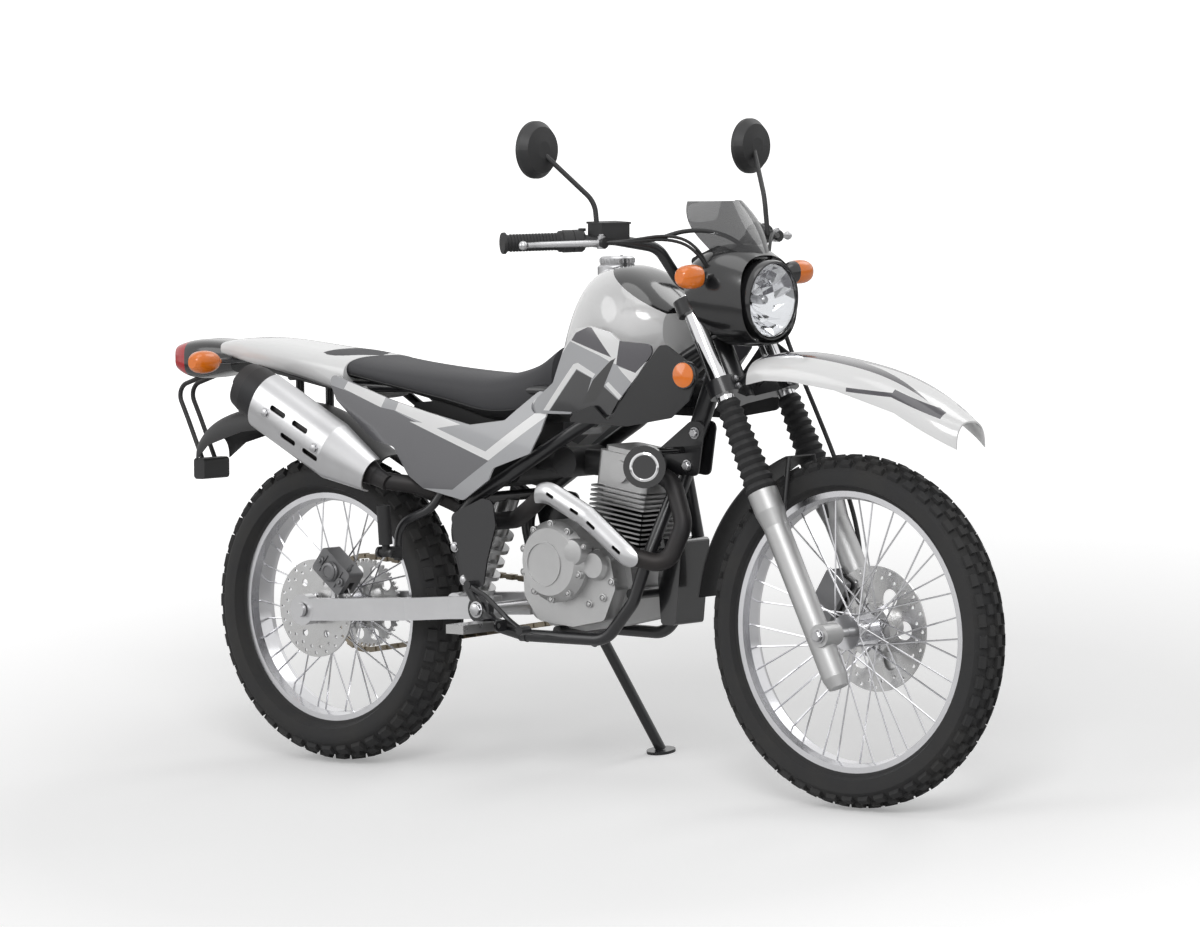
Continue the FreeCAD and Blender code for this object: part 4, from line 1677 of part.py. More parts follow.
# What each piece is cut to fit against, so that it seats face to face.
SEATS = (
    ("seat", ["frame_main", "fuel_tank", "intake"]),
    ("tail_cowl", ["seat", "frame_main", "rear_indicators", "tail_light"]),
    ("fuel_cap", ["fuel_tank"]),
    ("fuel_tank", ["frame_main"]),
    ("crankcase", ["cylinder", "frame_main"]),
    ("chain", ["crankcase"]),
    ("cylinder_head", ["frame_main"]),
    ("rear_shock", ["frame_main", "swingarm"]),
    ("header_shield", ["header_pipe"]),
    ("engine_covers", ["cylinder"]),
    ("intake", ["cylinder_head", "frame_main"]),
    ("header_pipe", ["muffler", "cylinder_head"]),
    ("muffler_guard", ["muffler"]),
    ("horn", ["frame_main"]),
    ("canister", ["frame_main"]),
    ("rear_fender", ["frame_main"]),
    ("plate_bracket", ["tail_light", "rear_fender"]),
    ("peg_brackets", ["frame_main", "foot_controls"]),
    ("rear_caliper", ["swingarm"]),
    ("front_caliper", ["fork_legs"]),
    ("fork_mudguard", ["fork_legs"]),
    ("mirrors", ["hand_controls"]),
    ("headlight", ["fork_tubes"]),
    ("headlight_cowl", ["instrument", "windscreen", "front_indicators", "steering_stem", "headlight"]),
    ("front_fender", ["steering_stem", "fork_boots"]),
    ("tank_panel_left", ["fuel_tank"]),
    ("tank_panel_right", ["fuel_tank"]),
    ("shroud_left", ["tank_panel_left"]),
    ("shroud_right", ["tank_panel_right"]),
    ("side_cover_left", ["frame_main"]),
    ("side_cover_right", ["frame_main"]),
)


def parked(shape):
    """Leaned to the left about the ground line and lifted onto the round of its tyres."""
    copy = shape.copy()
    copy.rotate(ORIGIN, V(1, 0, 0), -math.degrees(LEAN))
    copy.translate(V(0, 0, LIFT))
    return copy


def main():
    os.makedirs("parts", exist_ok=True)
    upright = build()
    leaned = {name: parked(shape) for name, shape in upright.items()}
    whole = FreeCAD.BoundBox()
    for shape in leaned.values():
        whole.add(shape.optimalBoundingBox())
    home = V(-whole.Center.x, -whole.Center.y, 0)
    for name, shape in leaned.items():
        shape.translate(home)
        shape.exportStep("parts/" + name + ".step")
        print(name, len(shape.Solids), shape.isValid(), round(shape.Volume / 1000))
    print("home", home.x, home.y, "box", whole.XLength, whole.YLength, whole.ZLength, whole.ZMin)
    return upright, home


UPRIGHT, HOME = main()
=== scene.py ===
import json
import math

import bmesh
import bpy
from bpy.props import FloatProperty, FloatVectorProperty, IntProperty, PointerProperty
from mathutils import Matrix, Vector


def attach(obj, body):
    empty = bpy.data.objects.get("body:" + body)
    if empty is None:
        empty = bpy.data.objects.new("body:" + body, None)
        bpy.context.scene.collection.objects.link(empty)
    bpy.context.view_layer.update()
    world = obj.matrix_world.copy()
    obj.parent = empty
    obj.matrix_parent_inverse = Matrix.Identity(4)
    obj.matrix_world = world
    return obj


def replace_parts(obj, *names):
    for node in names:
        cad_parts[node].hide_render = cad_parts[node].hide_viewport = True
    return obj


bl_info = {
    "name": "Dual sport motorcycle looks",
    "version": (1, 0, 0),
    "blender": (4, 5, 0),
    "location": "3D View > Sidebar > Motorcycle",
    "description": "Finishes and fine pieces for a parked dual sport motorcycle",
    "category": "Object",
}

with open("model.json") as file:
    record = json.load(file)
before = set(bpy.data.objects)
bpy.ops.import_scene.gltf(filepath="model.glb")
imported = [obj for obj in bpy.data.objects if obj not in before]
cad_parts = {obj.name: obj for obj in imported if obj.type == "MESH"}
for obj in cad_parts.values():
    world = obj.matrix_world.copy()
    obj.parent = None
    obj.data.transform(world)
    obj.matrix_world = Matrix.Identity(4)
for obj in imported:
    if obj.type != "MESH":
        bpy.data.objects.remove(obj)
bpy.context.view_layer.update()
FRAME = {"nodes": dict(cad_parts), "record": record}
JOINTS = {joint["name"]: joint for joint in FRAME["record"]["behaviour"]["joints"]}

# The machine's own sizes, upright, in metres: X forward from the rear axle, Y left, Z up.
WHEELBASE = 1.360
FRONT_RADIUS = 0.343
REAR_RADIUS = 0.322
RAKE = math.radians(26.6)
TRAIL = 0.105
FORK_OFFSET = 0.041
FORK_SIDE = 0.095
FRONT_AXLE = Vector((WHEELBASE, 0, FRONT_RADIUS))
REAR_AXLE = Vector((0, 0, REAR_RADIUS))


def parking():
    """The move from the upright machine to where it stands, read from its rear wheel's joint."""
    joint = JOINTS["rear_wheel_spin"]
    lean = math.asin(-joint["axis"][2])
    turn = Matrix.Rotation(-lean, 4, "X")
    return Matrix.Translation(Vector(joint["pos_m"]) - turn @ REAR_AXLE) @ turn


PARK = parking()


# Settings

def paint(name, description, default):
    """A colour that can be set."""
    return FloatVectorProperty(name=name, description=description, subtype="COLOR", size=3, default=default,
                               min=0, max=1)


class FinishSettings(bpy.types.PropertyGroup):
    white: paint("White", "Colour of the fender and the tops of the panels", (0.9, 0.9, 0.9))
    grey: paint("Grey", "Colour of the side covers", (0.43, 0.435, 0.45))
    dark: paint("Dark band", "Colour of the dark bands on the panels", (0.066, 0.062, 0.074))
    silver: paint("Silver", "Colour of the swingarm", (0.62, 0.62, 0.63))
    black: paint("Black", "Colour of the frame's paint", (0.018, 0.018, 0.02))
    orange: paint("Orange", "Colour of the turn lamp lenses", (0.95, 0.22, 0.01))
    red: paint("Red", "Colour of the tail lamp lens", (0.55, 0.01, 0.015))


class TyreSettings(bpy.types.PropertyGroup):
    knob_height: FloatProperty(name="Knob height", description="How far the tread blocks stand out",
                               unit="LENGTH", default=0.0085, min=0.002, max=0.02)
    front_knobs: IntProperty(name="Front knobs", description="Tread blocks in each row of the front tyre",
                             default=52, min=20, max=90)
    rear_knobs: IntProperty(name="Rear knobs", description="Tread blocks in each row of the rear tyre",
                            default=44, min=20, max=90)


class SeatSettings(bpy.types.PropertyGroup):
    crown: FloatProperty(name="Crown", description="How far the seat's top swells along its middle",
                         unit="LENGTH", default=0.004, min=0, max=0.02)
    edge_share: FloatProperty(name="Edge share", subtype="FACTOR", default=0.26, min=0, max=0.6,
                              description="How much of the seat's height its dark lower edge takes")


class LampSettings(bpy.types.PropertyGroup):
    facets: IntProperty(name="Facets", description="Mirror faces round the head lamp's reflector", default=22,
                        min=8, max=60)


class ControlSettings(bpy.types.PropertyGroup):
    ribs: IntProperty(name="Grip ribs", description="Ribs along each rubber grip", default=15, min=4, max=30)


class StageSettings(bpy.types.PropertyGroup):
    floor_tone: FloatProperty(name="Floor tone", description="Brightness of the floor", subtype="FACTOR",
                              default=0.82, min=0, max=1)
    key_power: FloatProperty(name="Key power", description="Power of the main lamp", unit="POWER",
                             default=118.0, min=0)
    fill_power: FloatProperty(name="Fill power", description="Power of the filling lamps", unit="POWER",
                              default=44.0, min=0)


# Making meshes

SHARP_ANGLE = math.radians(35)


def riding(piece, body):
    """Puts a piece in the scene, on its body."""
    bpy.context.scene.collection.objects.link(piece)
    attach(piece, body)
    return piece


def object_from(bm, name, body, materials, smooth=True):
    """A finished piece in the parked machine's place, riding on a body."""
    mesh = bpy.data.meshes.new(name)
    bmesh.ops.recalc_face_normals(bm, faces=bm.faces)
    bm.to_mesh(mesh)
    bm.free()
    mesh.transform(PARK)
    for entry in [materials] if isinstance(materials, str) else materials:
        mesh.materials.append(FINISH[entry])
    if smooth:
        mesh.shade_smooth()
        mesh.set_sharp_from_angle(angle=SHARP_ANGLE)
    else:
        mesh.shade_flat()
    return riding(bpy.data.objects.new(name, mesh), body)


def turns(count, shift=0.0):
    """The angles of so many places round a circle, the first a share of one step on."""
    return [2 * math.pi * (index + shift) / count for index in range(count)]


def web(bm, rings):
    """Faces between each open row of places and the next, and from the last row back to the first."""
    for ring, other in zip(rings, rings[1:] + rings[:1]):
        for row in range(len(ring) - 1):
            bm.faces.new((ring[row], ring[row + 1], other[row + 1], other[row]))


def lathe(bm, profile, centre, axis, steps):
    """A turned form: profile rows are a reach from the axis and a place along it."""
    along = Vector(axis).normalized()
    out = along.cross(Vector((0, 0, 1)) if abs(along.z) < 0.9 else Vector((0, 1, 0))).normalized()
    side = along.cross(out)
    rings = []
    for angle in turns(steps):
        way = out * math.cos(angle) + side * math.sin(angle)
        rings.append([bm.verts.new(centre + way * reach + along * place) for reach, place in profile])
    web(bm, rings)


def strip(bm, low, high):
    """Faces between two closed rings with as many places each."""
    faces = []
    for step in range(len(low)):
        on = (step + 1) % len(low)
        faces.append(bm.faces.new((low[step], low[on], high[on], high[step])))
    return faces


def block(bm, corners_low, corners_high):
    """A solid between two four-cornered faces."""
    low = [bm.verts.new(point) for point in corners_low]
    high = [bm.verts.new(point) for point in corners_high]
    bm.faces.new(high)
    bm.faces.new(low[::-1])
    strip(bm, low, high)


def steer(forward, side, height):
    """A place by the steering axis: ahead of it, to its left and along it from the ground."""
    return Vector((WHEELBASE + TRAIL + forward * math.cos(RAKE) - height * math.sin(RAKE), side,
                   forward * math.sin(RAKE) + height * math.cos(RAKE)))


STEER_UP = (steer(0, 0, 1) - steer(0, 0, 0)).normalized()
STEER_AHEAD = (steer(1, 0, 0) - steer(0, 0, 0)).normalized()


# Finishes

FINISH = {}
SURFACE = "surface change"
COAT_ROUGHNESS = 0.06
GRAIN_STRENGTH = 0.8


def fill(tree, made, inputs):
    """Links each input of a node from a socket, or sets it to a value."""
    for name, value in inputs.items():
        if isinstance(value, bpy.types.NodeSocket):
            tree.links.new(value, made.inputs[name])
        else:
            made.inputs[name].default_value = value


def node(tree, kind, inputs, **settings):
    """The outputs of a new shader node with its settings and inputs."""
    made = tree.nodes.new("ShaderNode" + kind)
    for name, value in settings.items():
        setattr(made, name, value)
    fill(tree, made, inputs)
    return made.outputs


def maths(tree, operation, *values):
    return node(tree, "Math", dict(enumerate(values)), operation=operation)[0]


def blend(tree, share, base, other):
    return node(tree, "Mix", {"Factor": share, "A": base, "B": other}, data_type="RGBA")["Result"]


def surface_group():
    """Slow colour change, uneven gloss and fine grain, shared by every finish."""
    group = bpy.data.node_groups.new(SURFACE, "ShaderNodeTree")
    for name, kind, value in (
            ("Color", "Color", (0.5, 0.5, 0.5, 1)), ("Second Color", "Color", (0.4, 0.4, 0.4, 1)),
            ("Patch Scale", "Float", 6.0), ("Patch Amount", "Float", 0.5), ("Roughness", "Float", 0.5),
            ("Spread", "Float", 0.1), ("Grain Scale", "Float", 400.0), ("Stretch", "Vector", (1, 1, 1))):
        socket = group.interface.new_socket(name, in_out="INPUT", socket_type="NodeSocket" + kind)
        socket.default_value = value
    for name, kind in (("Color", "Color"), ("Roughness", "Float"), ("Grain", "Float")):
        group.interface.new_socket(name, in_out="OUTPUT", socket_type="NodeSocket" + kind)
    given = group.nodes.new("NodeGroupInput").outputs
    place = node(group, "TexCoord", {})["Object"]
    patch = node(group, "TexNoise", {"Vector": place, "Scale": given["Patch Scale"], "Detail": 5})["Fac"]
    scaled = node(group, "VectorMath", {0: place, 1: given["Stretch"]}, operation="MULTIPLY")[0]
    grain = node(group, "TexNoise", {"Vector": scaled, "Scale": given["Grain Scale"], "Detail": 3})["Fac"]
    sharp = node(group, "MapRange", {"Value": patch, "From Min": 0.4, "From Max": 0.7})["Result"]
    share = maths(group, "MULTIPLY", sharp, given["Patch Amount"])
    gloss = maths(group, "MULTIPLY_ADD", maths(group, "SUBTRACT", patch, 0.5), given["Spread"],
                  given["Roughness"])
    colour = blend(group, share, given["Color"], given["Second Color"])
    fill(group, group.nodes.new("NodeGroupOutput"), {"Color": colour, "Roughness": gloss, "Grain": grain})


def finish(name, colour, rough, spread=0.1, second=None, shade=0.72, metal=0.0, coat=0.0, patch=6.0,
           amount=0.5, grain=400.0, depth=0.0, stretch=(1, 1, 1), bands=(), **more):
    """One material: a shader fed by the shared surface group, with painted bands over it.

    The roughness varies by the spread, the colour changes in patches to the second one or to a shade of
    itself, and the grain is a bump of this depth. More inputs of the shader go by their own names.
    """
    material = FINISH[name] = bpy.data.materials.new(name)
    material.use_nodes = True
    tree = material.node_tree
    second = second or [part * shade for part in colour]
    skin = node(tree, "Group", {"Color": (*colour, 1), "Second Color": (*second, 1), "Patch Scale": patch,
                                "Patch Amount": amount, "Roughness": rough, "Spread": spread,
                                "Grain Scale": grain, "Stretch": stretch},
                node_tree=bpy.data.node_groups[SURFACE])
    base = skin["Color"]
    seen = upright_place(tree) if bands else None
    for tint, tests in bands:
        mask = 1.0
        for way, low, high in tests:
            along = node(tree, "VectorMath", {0: seen, 1: way}, operation="DOT_PRODUCT")["Value"]
            near = maths(tree, "COMPARE", along, (low + high) / 2, (high - low) / 2)
            mask = maths(tree, "MULTIPLY", mask, near)
        base = blend(tree, mask, base, (*tint, 1))
    inputs = {"Metallic": metal, "Coat Weight": coat, "Coat Roughness": COAT_ROUGHNESS,
              "Roughness": skin["Roughness"], "Base Color": base}
    if depth:
        inputs["Normal"] = node(tree, "Bump", {"Strength": GRAIN_STRENGTH, "Distance": depth,
                                               "Height": skin["Grain"]})["Normal"]
    fill(tree, tree.nodes["Principled BSDF"], {**inputs, **more})


def upright_place(tree):
    """The place on the upright machine of each point of the parked one."""
    moved = node(tree, "VectorMath", {0: node(tree, "TexCoord", {})["Object"], 1: PARK.to_translation()},
                 operation="SUBTRACT")[0]
    return node(tree, "VectorRotate", {"Vector": moved, "Angle": -PARK.to_euler().x},
                rotation_type="X_AXIS")[0]


def shape(*corners):
    """Tests that hold inside a convex outline of the side view, from its corners in millimetres."""
    middle = [sum(corner[index] for corner in corners) / len(corners) for index in (0, 1)]
    tests = []
    for (x0, z0), (x1, z1) in zip(corners, corners[1:] + corners[:1]):
        way = Vector((z0 - z1, 0, x1 - x0)).normalized()
        if way.x * (middle[0] - x0) + way.z * (middle[1] - z0) < 0:
            way = -way
        edge = (way.x * x0 + way.z * z0) / 1000
        tests.append(((way.x, 0, way.z), edge, edge + 9))
    return tuple(tests)


def beside(low, high):
    """A test that holds between two distances to the left of the middle, in millimetres."""
    return ((0, 1, 0), low / 1000, high / 1000)


def line(x0, z0, x1, z1, width):
    """A test that holds in a band along a line of the side view, all in millimetres."""
    way = Vector((z0 - z1, 0, x1 - x0)).normalized()
    middle = way.x * x0 / 1000 + way.z * z0 / 1000
    return ((way.x, 0, way.z), middle - width / 2000, middle + width / 2000)


def ahead(x0, x1):
    """A test that holds between two places ahead of the rear axle, in millimetres."""
    return ((1, 0, 0), x0 / 1000, x1 / 1000)


class MOTO_OT_finishes(bpy.types.Operator):
    """Makes every finish and puts it on the frame's own pieces"""
    bl_idname = "moto.finishes"
    bl_label = "Finishes"

    def execute(self, context):
        surface_group()
        own = context.scene.moto_finish
        white, grey, dark, silver, black = own.white, own.grey, own.dark, own.silver, own.black
        finish("frame_paint", black, 0.32, 0.12, coat=0.3, grain=300, depth=0.0001)
        finish("arm_silver", silver, 0.34, 0.2, metal=0.9, grain=200, depth=0.0001, stretch=(0.1, 1, 1))
        finish("steel", (0.5, 0.5, 0.5), 0.3, 0.2, metal=1.0, grain=500, depth=0.00006)
        finish("cast_silver", (0.52, 0.52, 0.52), 0.42, 0.2, second=(0.4, 0.4, 0.4), metal=0.85, grain=700,
               depth=0.0003)
        finish("barrel_black", (0.5, 0.5, 0.5), 0.42, metal=0.6, grain=600, depth=0.0003,
               bands=(((0.026, 0.026, 0.028), (FIN_AHEAD, beside(-68.6, 68.6))),))
        finish("heat_black", (0.022, 0.022, 0.024), 0.5, second=(0.05, 0.04, 0.035), metal=0.4, grain=500,
               depth=0.0002)
        finish("guard_silver", (0.66, 0.66, 0.67), 0.3, 0.15, metal=0.9, grain=900, depth=0.00005,
               stretch=(0.05, 1, 1))
        # The top and rear of the tank, inside this outline of the side view, are painted in the white over
        # its black.
        tank_side = shape((600, 760), (700, 1035), (800, 1035), (980, 925), (985, 880), (960, 760))
        finish("tank_black", (0.012, 0.012, 0.013), 0.12, 0.06, coat=1.0, bands=((white, tank_side),))
        for name, rough, coat, bands in (("white_plastic", 0.2, 0.6, fender_bands(dark, white)),
                                         ("panel_white", 0.18, 0.8, panel_bands(dark, grey, white)),
                                         ("tail_white", 0.2, 0.6, ())):
            finish(name, white, rough, 0.06, shade=0.95, coat=coat, patch=3, bands=bands)
        finish("panel_grey", grey, 0.22, 0.08, shade=0.92, coat=0.6, patch=3, bands=cover_bands(grey, white))
        finish("black_plastic", (0.02, 0.02, 0.021), 0.48, 0.15, second=(0.032, 0.032, 0.033), grain=900,
               depth=0.0002)
        finish("seat_cover", (0.042, 0.042, 0.046), 0.62, 0.15, second=(0.058, 0.058, 0.062), grain=1400,
               depth=0.0003)
        finish("tyre_rubber", (0.024, 0.024, 0.025), 0.78, 0.15, second=(0.045, 0.043, 0.04), patch=14,
               grain=900, depth=0.0003)
        finish("soft_rubber", (0.018, 0.018, 0.019), 0.6, 0.1, grain=1100, depth=0.0002)
        finish("rim_silver", (0.7, 0.7, 0.72), 0.2, 0.12, metal=1.0, grain=500, depth=0.00003)
        finish("chrome", (0.78, 0.78, 0.79), 0.08, 0.06, metal=1.0)
        finish("lens_orange", own.orange, 0.12, 0.04, coat=0.8, grain=260, depth=0.0004,
               stretch=(0.02, 0.02, 1))
        finish("turn_lamp_front", (0.02, 0.02, 0.021), 0.2, 0.06, coat=0.6, grain=260, depth=0.0002,
               bands=[(own.orange, (ahead(1070, 1200), lens)) for lens in FRONT_LENSES])
        finish("turn_lamp_rear", (0.05, 0.05, 0.055), 0.25, 0.06, coat=0.6, grain=260, depth=0.0002,
               bands=[(own.orange, (ahead(-400, -190), lens)) for lens in REAR_LENSES])
        finish("tail_lamp", (0.02, 0.02, 0.021), 0.2, 0.06, coat=0.6,
               bands=((own.red, (ahead(-500, -392),)),))
        finish("cowl_black", (0.014, 0.014, 0.015), 0.22, 0.08, coat=0.7)
        finish("bolt_steel", (0.55, 0.55, 0.56), 0.3, 0.15, metal=1.0, grain=900, depth=0.00004)
        finish("reflector", (0.9, 0.9, 0.91), 0.06, 0.03, metal=1.0)
        finish("lever_silver", (0.6, 0.6, 0.61), 0.28, 0.15, metal=0.9, grain=700, depth=0.00004)
        finish("hose_black", (0.02, 0.02, 0.021), 0.42, 0.12, grain=900, depth=0.0001)
        finish("seat_edge", (0.012, 0.012, 0.013), 0.5, 0.12, grain=900, depth=0.0002)
        finish("dial", (0.06, 0.075, 0.07), 0.1, 0.03, coat=0.8)
        finish("chain_steel", (0.30, 0.26, 0.2), 0.38, 0.2, second=(0.14, 0.12, 0.1), metal=1.0, patch=30)
        finish("brake_steel", (0.6, 0.6, 0.6), 0.26, 0.2, second=(0.48, 0.47, 0.46), metal=1.0, patch=20,
               grain=900, depth=0.00005)
        finish("caliper_grey", (0.2, 0.2, 0.205), 0.42, 0.15, second=(0.13, 0.13, 0.135), metal=0.7,
               grain=700, depth=0.0002)
        finish("mirror_glass", (0.8, 0.82, 0.84), 0.03, 0.01, metal=1.0)
        finish("lens_clear", (0.96, 0.97, 0.98), 0.02, 0.0, amount=0.1,
               **{"IOR": 1.2, "Transmission Weight": 1.0})
        finish("screen_smoke", (0.03, 0.03, 0.033), 0.08, 0.02, coat=0.5, Alpha=0.72)
        for name, nodes in FINISHED_NODES.items():
            for entry in nodes.split():
                mesh = FRAME["nodes"][entry].data
                mesh.materials.clear()
                mesh.materials.append(FINISH[name])
        return {"FINISHED"}


def flank(x0, x1, half0, half1):
    """Tests that hold on both sides of the middle out to a line, in millimetres at two places ahead."""
    tests = []
    for hand in (1, -1):
        way = Vector((half0 - half1, hand * (x1 - x0), 0)).normalized()
        edge = (way.x * x0 + way.y * hand * half0) / 1000
        tests.append((tuple(way), edge - 9, edge))
    return tuple(tests)


def fender_bands(dark, white):
    bands = [(dark, (ahead(1150, 1570),) + flank(1170, 1560, 52, 38)),
             (white, (ahead(1380, 1600),) + flank(1380, 1560, 1, 37))]
    for reach, stripe in ((ahead(1400, 1500), line(1400, 815, 1510, 806, 8)),
                          (ahead(1500, 1600), line(1505, 808, 1600, 770, 13))):
        bands += [(dark, (reach, stripe, side)) for side in (beside(-200, -30), beside(30, 200))]
    return bands


PANEL_SHADE = (0.022, 0.022, 0.024)
PANEL_GAP = (0.006, 0.006, 0.006)
COVER_SHADE = (0.15, 0.15, 0.16)


def panel_bands(dark, grey, white):
    return (
        (grey, shape((758, 896), (618, 740), (776, 740), (897, 770), (950, 832), (888, 856))),
        (white, shape((757, 900), (875, 870), (950, 840), (943, 830), (875, 857), (752, 888))),
        (dark, shape((762, 898), (774, 913), (807, 925), (832, 923), (897, 900), (888, 854), (875, 867))),
        (dark, shape((896, 901), (1010, 897), (988, 879), (945, 836), (888, 853))),
        (white, shape((674, 756), (769, 851), (778, 842), (692, 756))),
        (white, shape((769, 851), (782, 854), (831, 833), (823, 825), (778, 842))),
        (PANEL_SHADE, shape((694, 756), (778, 840), (821, 825), (790, 756))),
        (white, shape((888, 851), (948, 836), (928, 814), (903, 839))),
        (white, shape((858, 813), (866, 819), (910, 786), (902, 779))),
        (PANEL_SHADE, shape((740, 736), (770, 763), (850, 812), (905, 776), (863, 730))),
        (PANEL_GAP, shape((886, 866), (872, 860), (824, 821), (793, 773), (831, 780), (852, 806))))


def cover_bands(grey, white):
    return (
        (COVER_SHADE, shape((60, 800), (245, 760), (545, 653), (700, 752), (705, 590), (60, 590))),
        (grey, shape((245, 778), (545, 668), (640, 720), (560, 760), (300, 800))),
        (white, shape((534, 670), (542, 652), (330, 724), (375, 722))),
        (white, shape((534, 670), (542, 652), (690, 750), (664, 758))),
        (white, shape((150, 800), (262, 772), (330, 745), (250, 750), (140, 785))),
        (white, shape((300, 768), (465, 722), (400, 712), (290, 745))),
        (grey, shape((262, 772), (300, 768), (290, 745), (250, 750))))


FRONT_LENSES = beside(-400, -150), beside(150, 400)
REAR_LENSES = beside(-400, -110), beside(110, 400)
# The barrel's fins are darker than its ends: their tilt, and their middle and half their length along it.
FIN_TILT = math.radians(8.0)
FIN_MIDDLE = 0.7997 * math.cos(FIN_TILT) - 0.4890 * math.sin(FIN_TILT)
FIN_HALF = 0.0706
FIN_AHEAD = ((math.cos(FIN_TILT), 0, -math.sin(FIN_TILT)), FIN_MIDDLE - FIN_HALF, FIN_MIDDLE + FIN_HALF)

FINISHED_NODES = {
    "frame_paint": "frame_main foot_controls peg_brackets steering_stem handlebar side_stand",
    "arm_silver": "swingarm",
    "steel": "rear_shock fuel_cap sprocket peg_left peg_right",
    "cast_silver": "crankcase engine_covers cylinder_head fork_legs",
    "barrel_black": "cylinder",
    "black_plastic": "intake rear_fender plate_bracket hand_controls mirrors instrument fork_mudguard "
                     "shroud_left shroud_right",
    "heat_black": "header_pipe muffler",
    "guard_silver": "header_shield muffler_guard",
    "tank_black": "fuel_tank",
    "seat_cover": "seat",
    "tail_white": "tail_cowl",
    "tail_lamp": "tail_light",
    "turn_lamp_rear": "rear_indicators",
    "turn_lamp_front": "front_indicators",
    "caliper_grey": "rear_caliper front_caliper",
    "chain_steel": "chain",
    "cowl_black": "horn canister headlight_cowl",
    "chrome": "fork_tubes",
    "soft_rubber": "fork_boots grips passenger_peg_left passenger_peg_right",
    "lens_clear": "headlight",
    "screen_smoke": "windscreen",
    "white_plastic": "front_fender",
    "tyre_rubber": "front_tyre rear_tyre",
    "rim_silver": "front_rim rear_rim",
    "brake_steel": "front_disc rear_disc",
    "panel_white": "tank_panel_left tank_panel_right",
    "panel_grey": "side_cover_left side_cover_right",
}


# Tyres

# Each tyre's axle, radius, width, round of the crown, and radius and half width of the bead.
TYRES = {"front": (FRONT_AXLE, FRONT_RADIUS, 0.082, 0.046, 0.266, 0.023),
         "rear": (REAR_AXLE, REAR_RADIUS, 0.118, 0.066, 0.231, 0.031)}
# Rows of tread blocks: middle and width as shares of half the crown, length as a share of the pitch, and the
# share of a pitch by which the row starts later.
TREAD_ROWS = ((0.0, 0.30, 0.58, 0.0), (0.46, 0.26, 0.5, 0.5), (-0.46, 0.26, 0.5, 0.5),
              (0.86, 0.24, 0.6, 0.0), (-0.86, 0.24, 0.6, 0.0))
CROWN_SHARE = 0.86
WELD = 0.00001


def fall(crown, side):
    """How far a round crown drops, this far to the side of its middle."""
    return crown - math.sqrt(max(crown ** 2 - side ** 2, 0))


class MOTO_OT_tyres(bpy.types.Operator):
    """Tyres with raised tread blocks, in place of the frame's plain rings"""
    bl_idname = "moto.tyres"
    bl_label = "Tyres"

    def execute(self, context):
        own = context.scene.moto_tyres
        for end, knobs in (("front", own.front_knobs), ("rear", own.rear_knobs)):
            self.tyre(end, *TYRES[end], knobs, own.knob_height)
        return {"FINISHED"}

    def tyre(self, end, centre, radius, width, crown, bead, bead_half, knobs, height):
        bm, half = bmesh.new(), width / 2
        crown_half = min(half, crown) * CROWN_SHARE
        shoulder, ground = radius - fall(crown, crown_half), radius - height
        swell = bead + (shoulder - bead) * 0.55
        outline = [(ground - fall(crown, crown_half * step / 6), crown_half * step / 6 * 0.97)
                   for step in range(-6, 7)]
        wall = [(shoulder - height - 0.004, half * 0.93), (swell + 0.012, half * 0.985), (swell, half),
                (swell - 0.014, half * 0.97), (bead + 0.014, bead_half + 0.006),
                (bead + 0.009, bead_half + 0.005), (bead, bead_half)]
        outline += wall + [(reach, -side) for reach, side in reversed(wall)]
        lathe(bm, outline + outline[:1], centre, (0, 1, 0), 96)
        bmesh.ops.remove_doubles(bm, verts=bm.verts, dist=WELD)
        for middle, wide, long, shift in TREAD_ROWS:
            for turn in turns(knobs, shift):
                rings = []
                for reach, grow in ((-0.003, 1.12), (height, 0.94)):
                    rings.append([])
                    for across, along in ((-1, -1), (1, -1), (1, 1), (-1, 1)):
                        side = crown_half * (middle + across * wide / 2 * grow)
                        side = max(-crown_half * 1.02, min(crown_half * 1.02, side))
                        angle, tilt = turn + along * math.pi / knobs * long * grow, side / crown
                        out = ground - fall(crown, side) + reach * math.cos(tilt)
                        rings[-1].append(centre + Vector((out * math.cos(angle),
                                                          side + reach * math.sin(tilt) * 0.6,
                                                          out * math.sin(angle))))
                block(bm, *rings)
        piece = object_from(bm, end + "_tyre_tread", end + "_wheel", "tyre_rubber")
        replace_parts(piece, end + "_tyre")


# Helpers for the small pieces

def mm(x, y, z):
    return Vector((x, y, z)) / 1000


def sweep(bm, points, radii, steps=12):
    """A bar through places, with a radius at each and closed ends."""
    points = [Vector(point) for point in points]
    radii = radii if isinstance(radii, (list, tuple)) else [radii] * len(points)
    rings, out = [], None
    for index, point in enumerate(points):
        way = (points[min(index + 1, len(points) - 1)] - points[max(index - 1, 0)]).normalized()
        out = way.orthogonal().normalized() if out is None else (out - way * out.dot(way)).normalized()
        side = way.cross(out)
        rings.append([bm.verts.new(point + (out * math.cos(turn) + side * math.sin(turn)) * radii[index])
                      for turn in turns(steps)])
    for low, high in zip(rings, rings[1:]):
        strip(bm, low, high)
    bm.faces.new(rings[0][::-1])
    bm.faces.new(rings[-1])


def hose(name, points, radius):
    """A held cable or hose on the steering: a smooth round curve with its ends in their fittings."""
    curve = bpy.data.curves.new(name, "CURVE")
    curve.dimensions = "3D"
    curve.bevel_depth, curve.bevel_resolution, curve.resolution_u = radius, 3, 8
    curve.use_fill_caps = True
    spline = curve.splines.new("NURBS")
    spline.points.add(len(points) - 1)
    for place, point in zip(spline.points, points):
        place.co = (*(PARK @ Vector(point)), 1)
    spline.order_u, spline.use_endpoint_u = 3, True
    curve.materials.append(FINISH["hose_black"])
    riding(bpy.data.objects.new(name, curve), "steering")


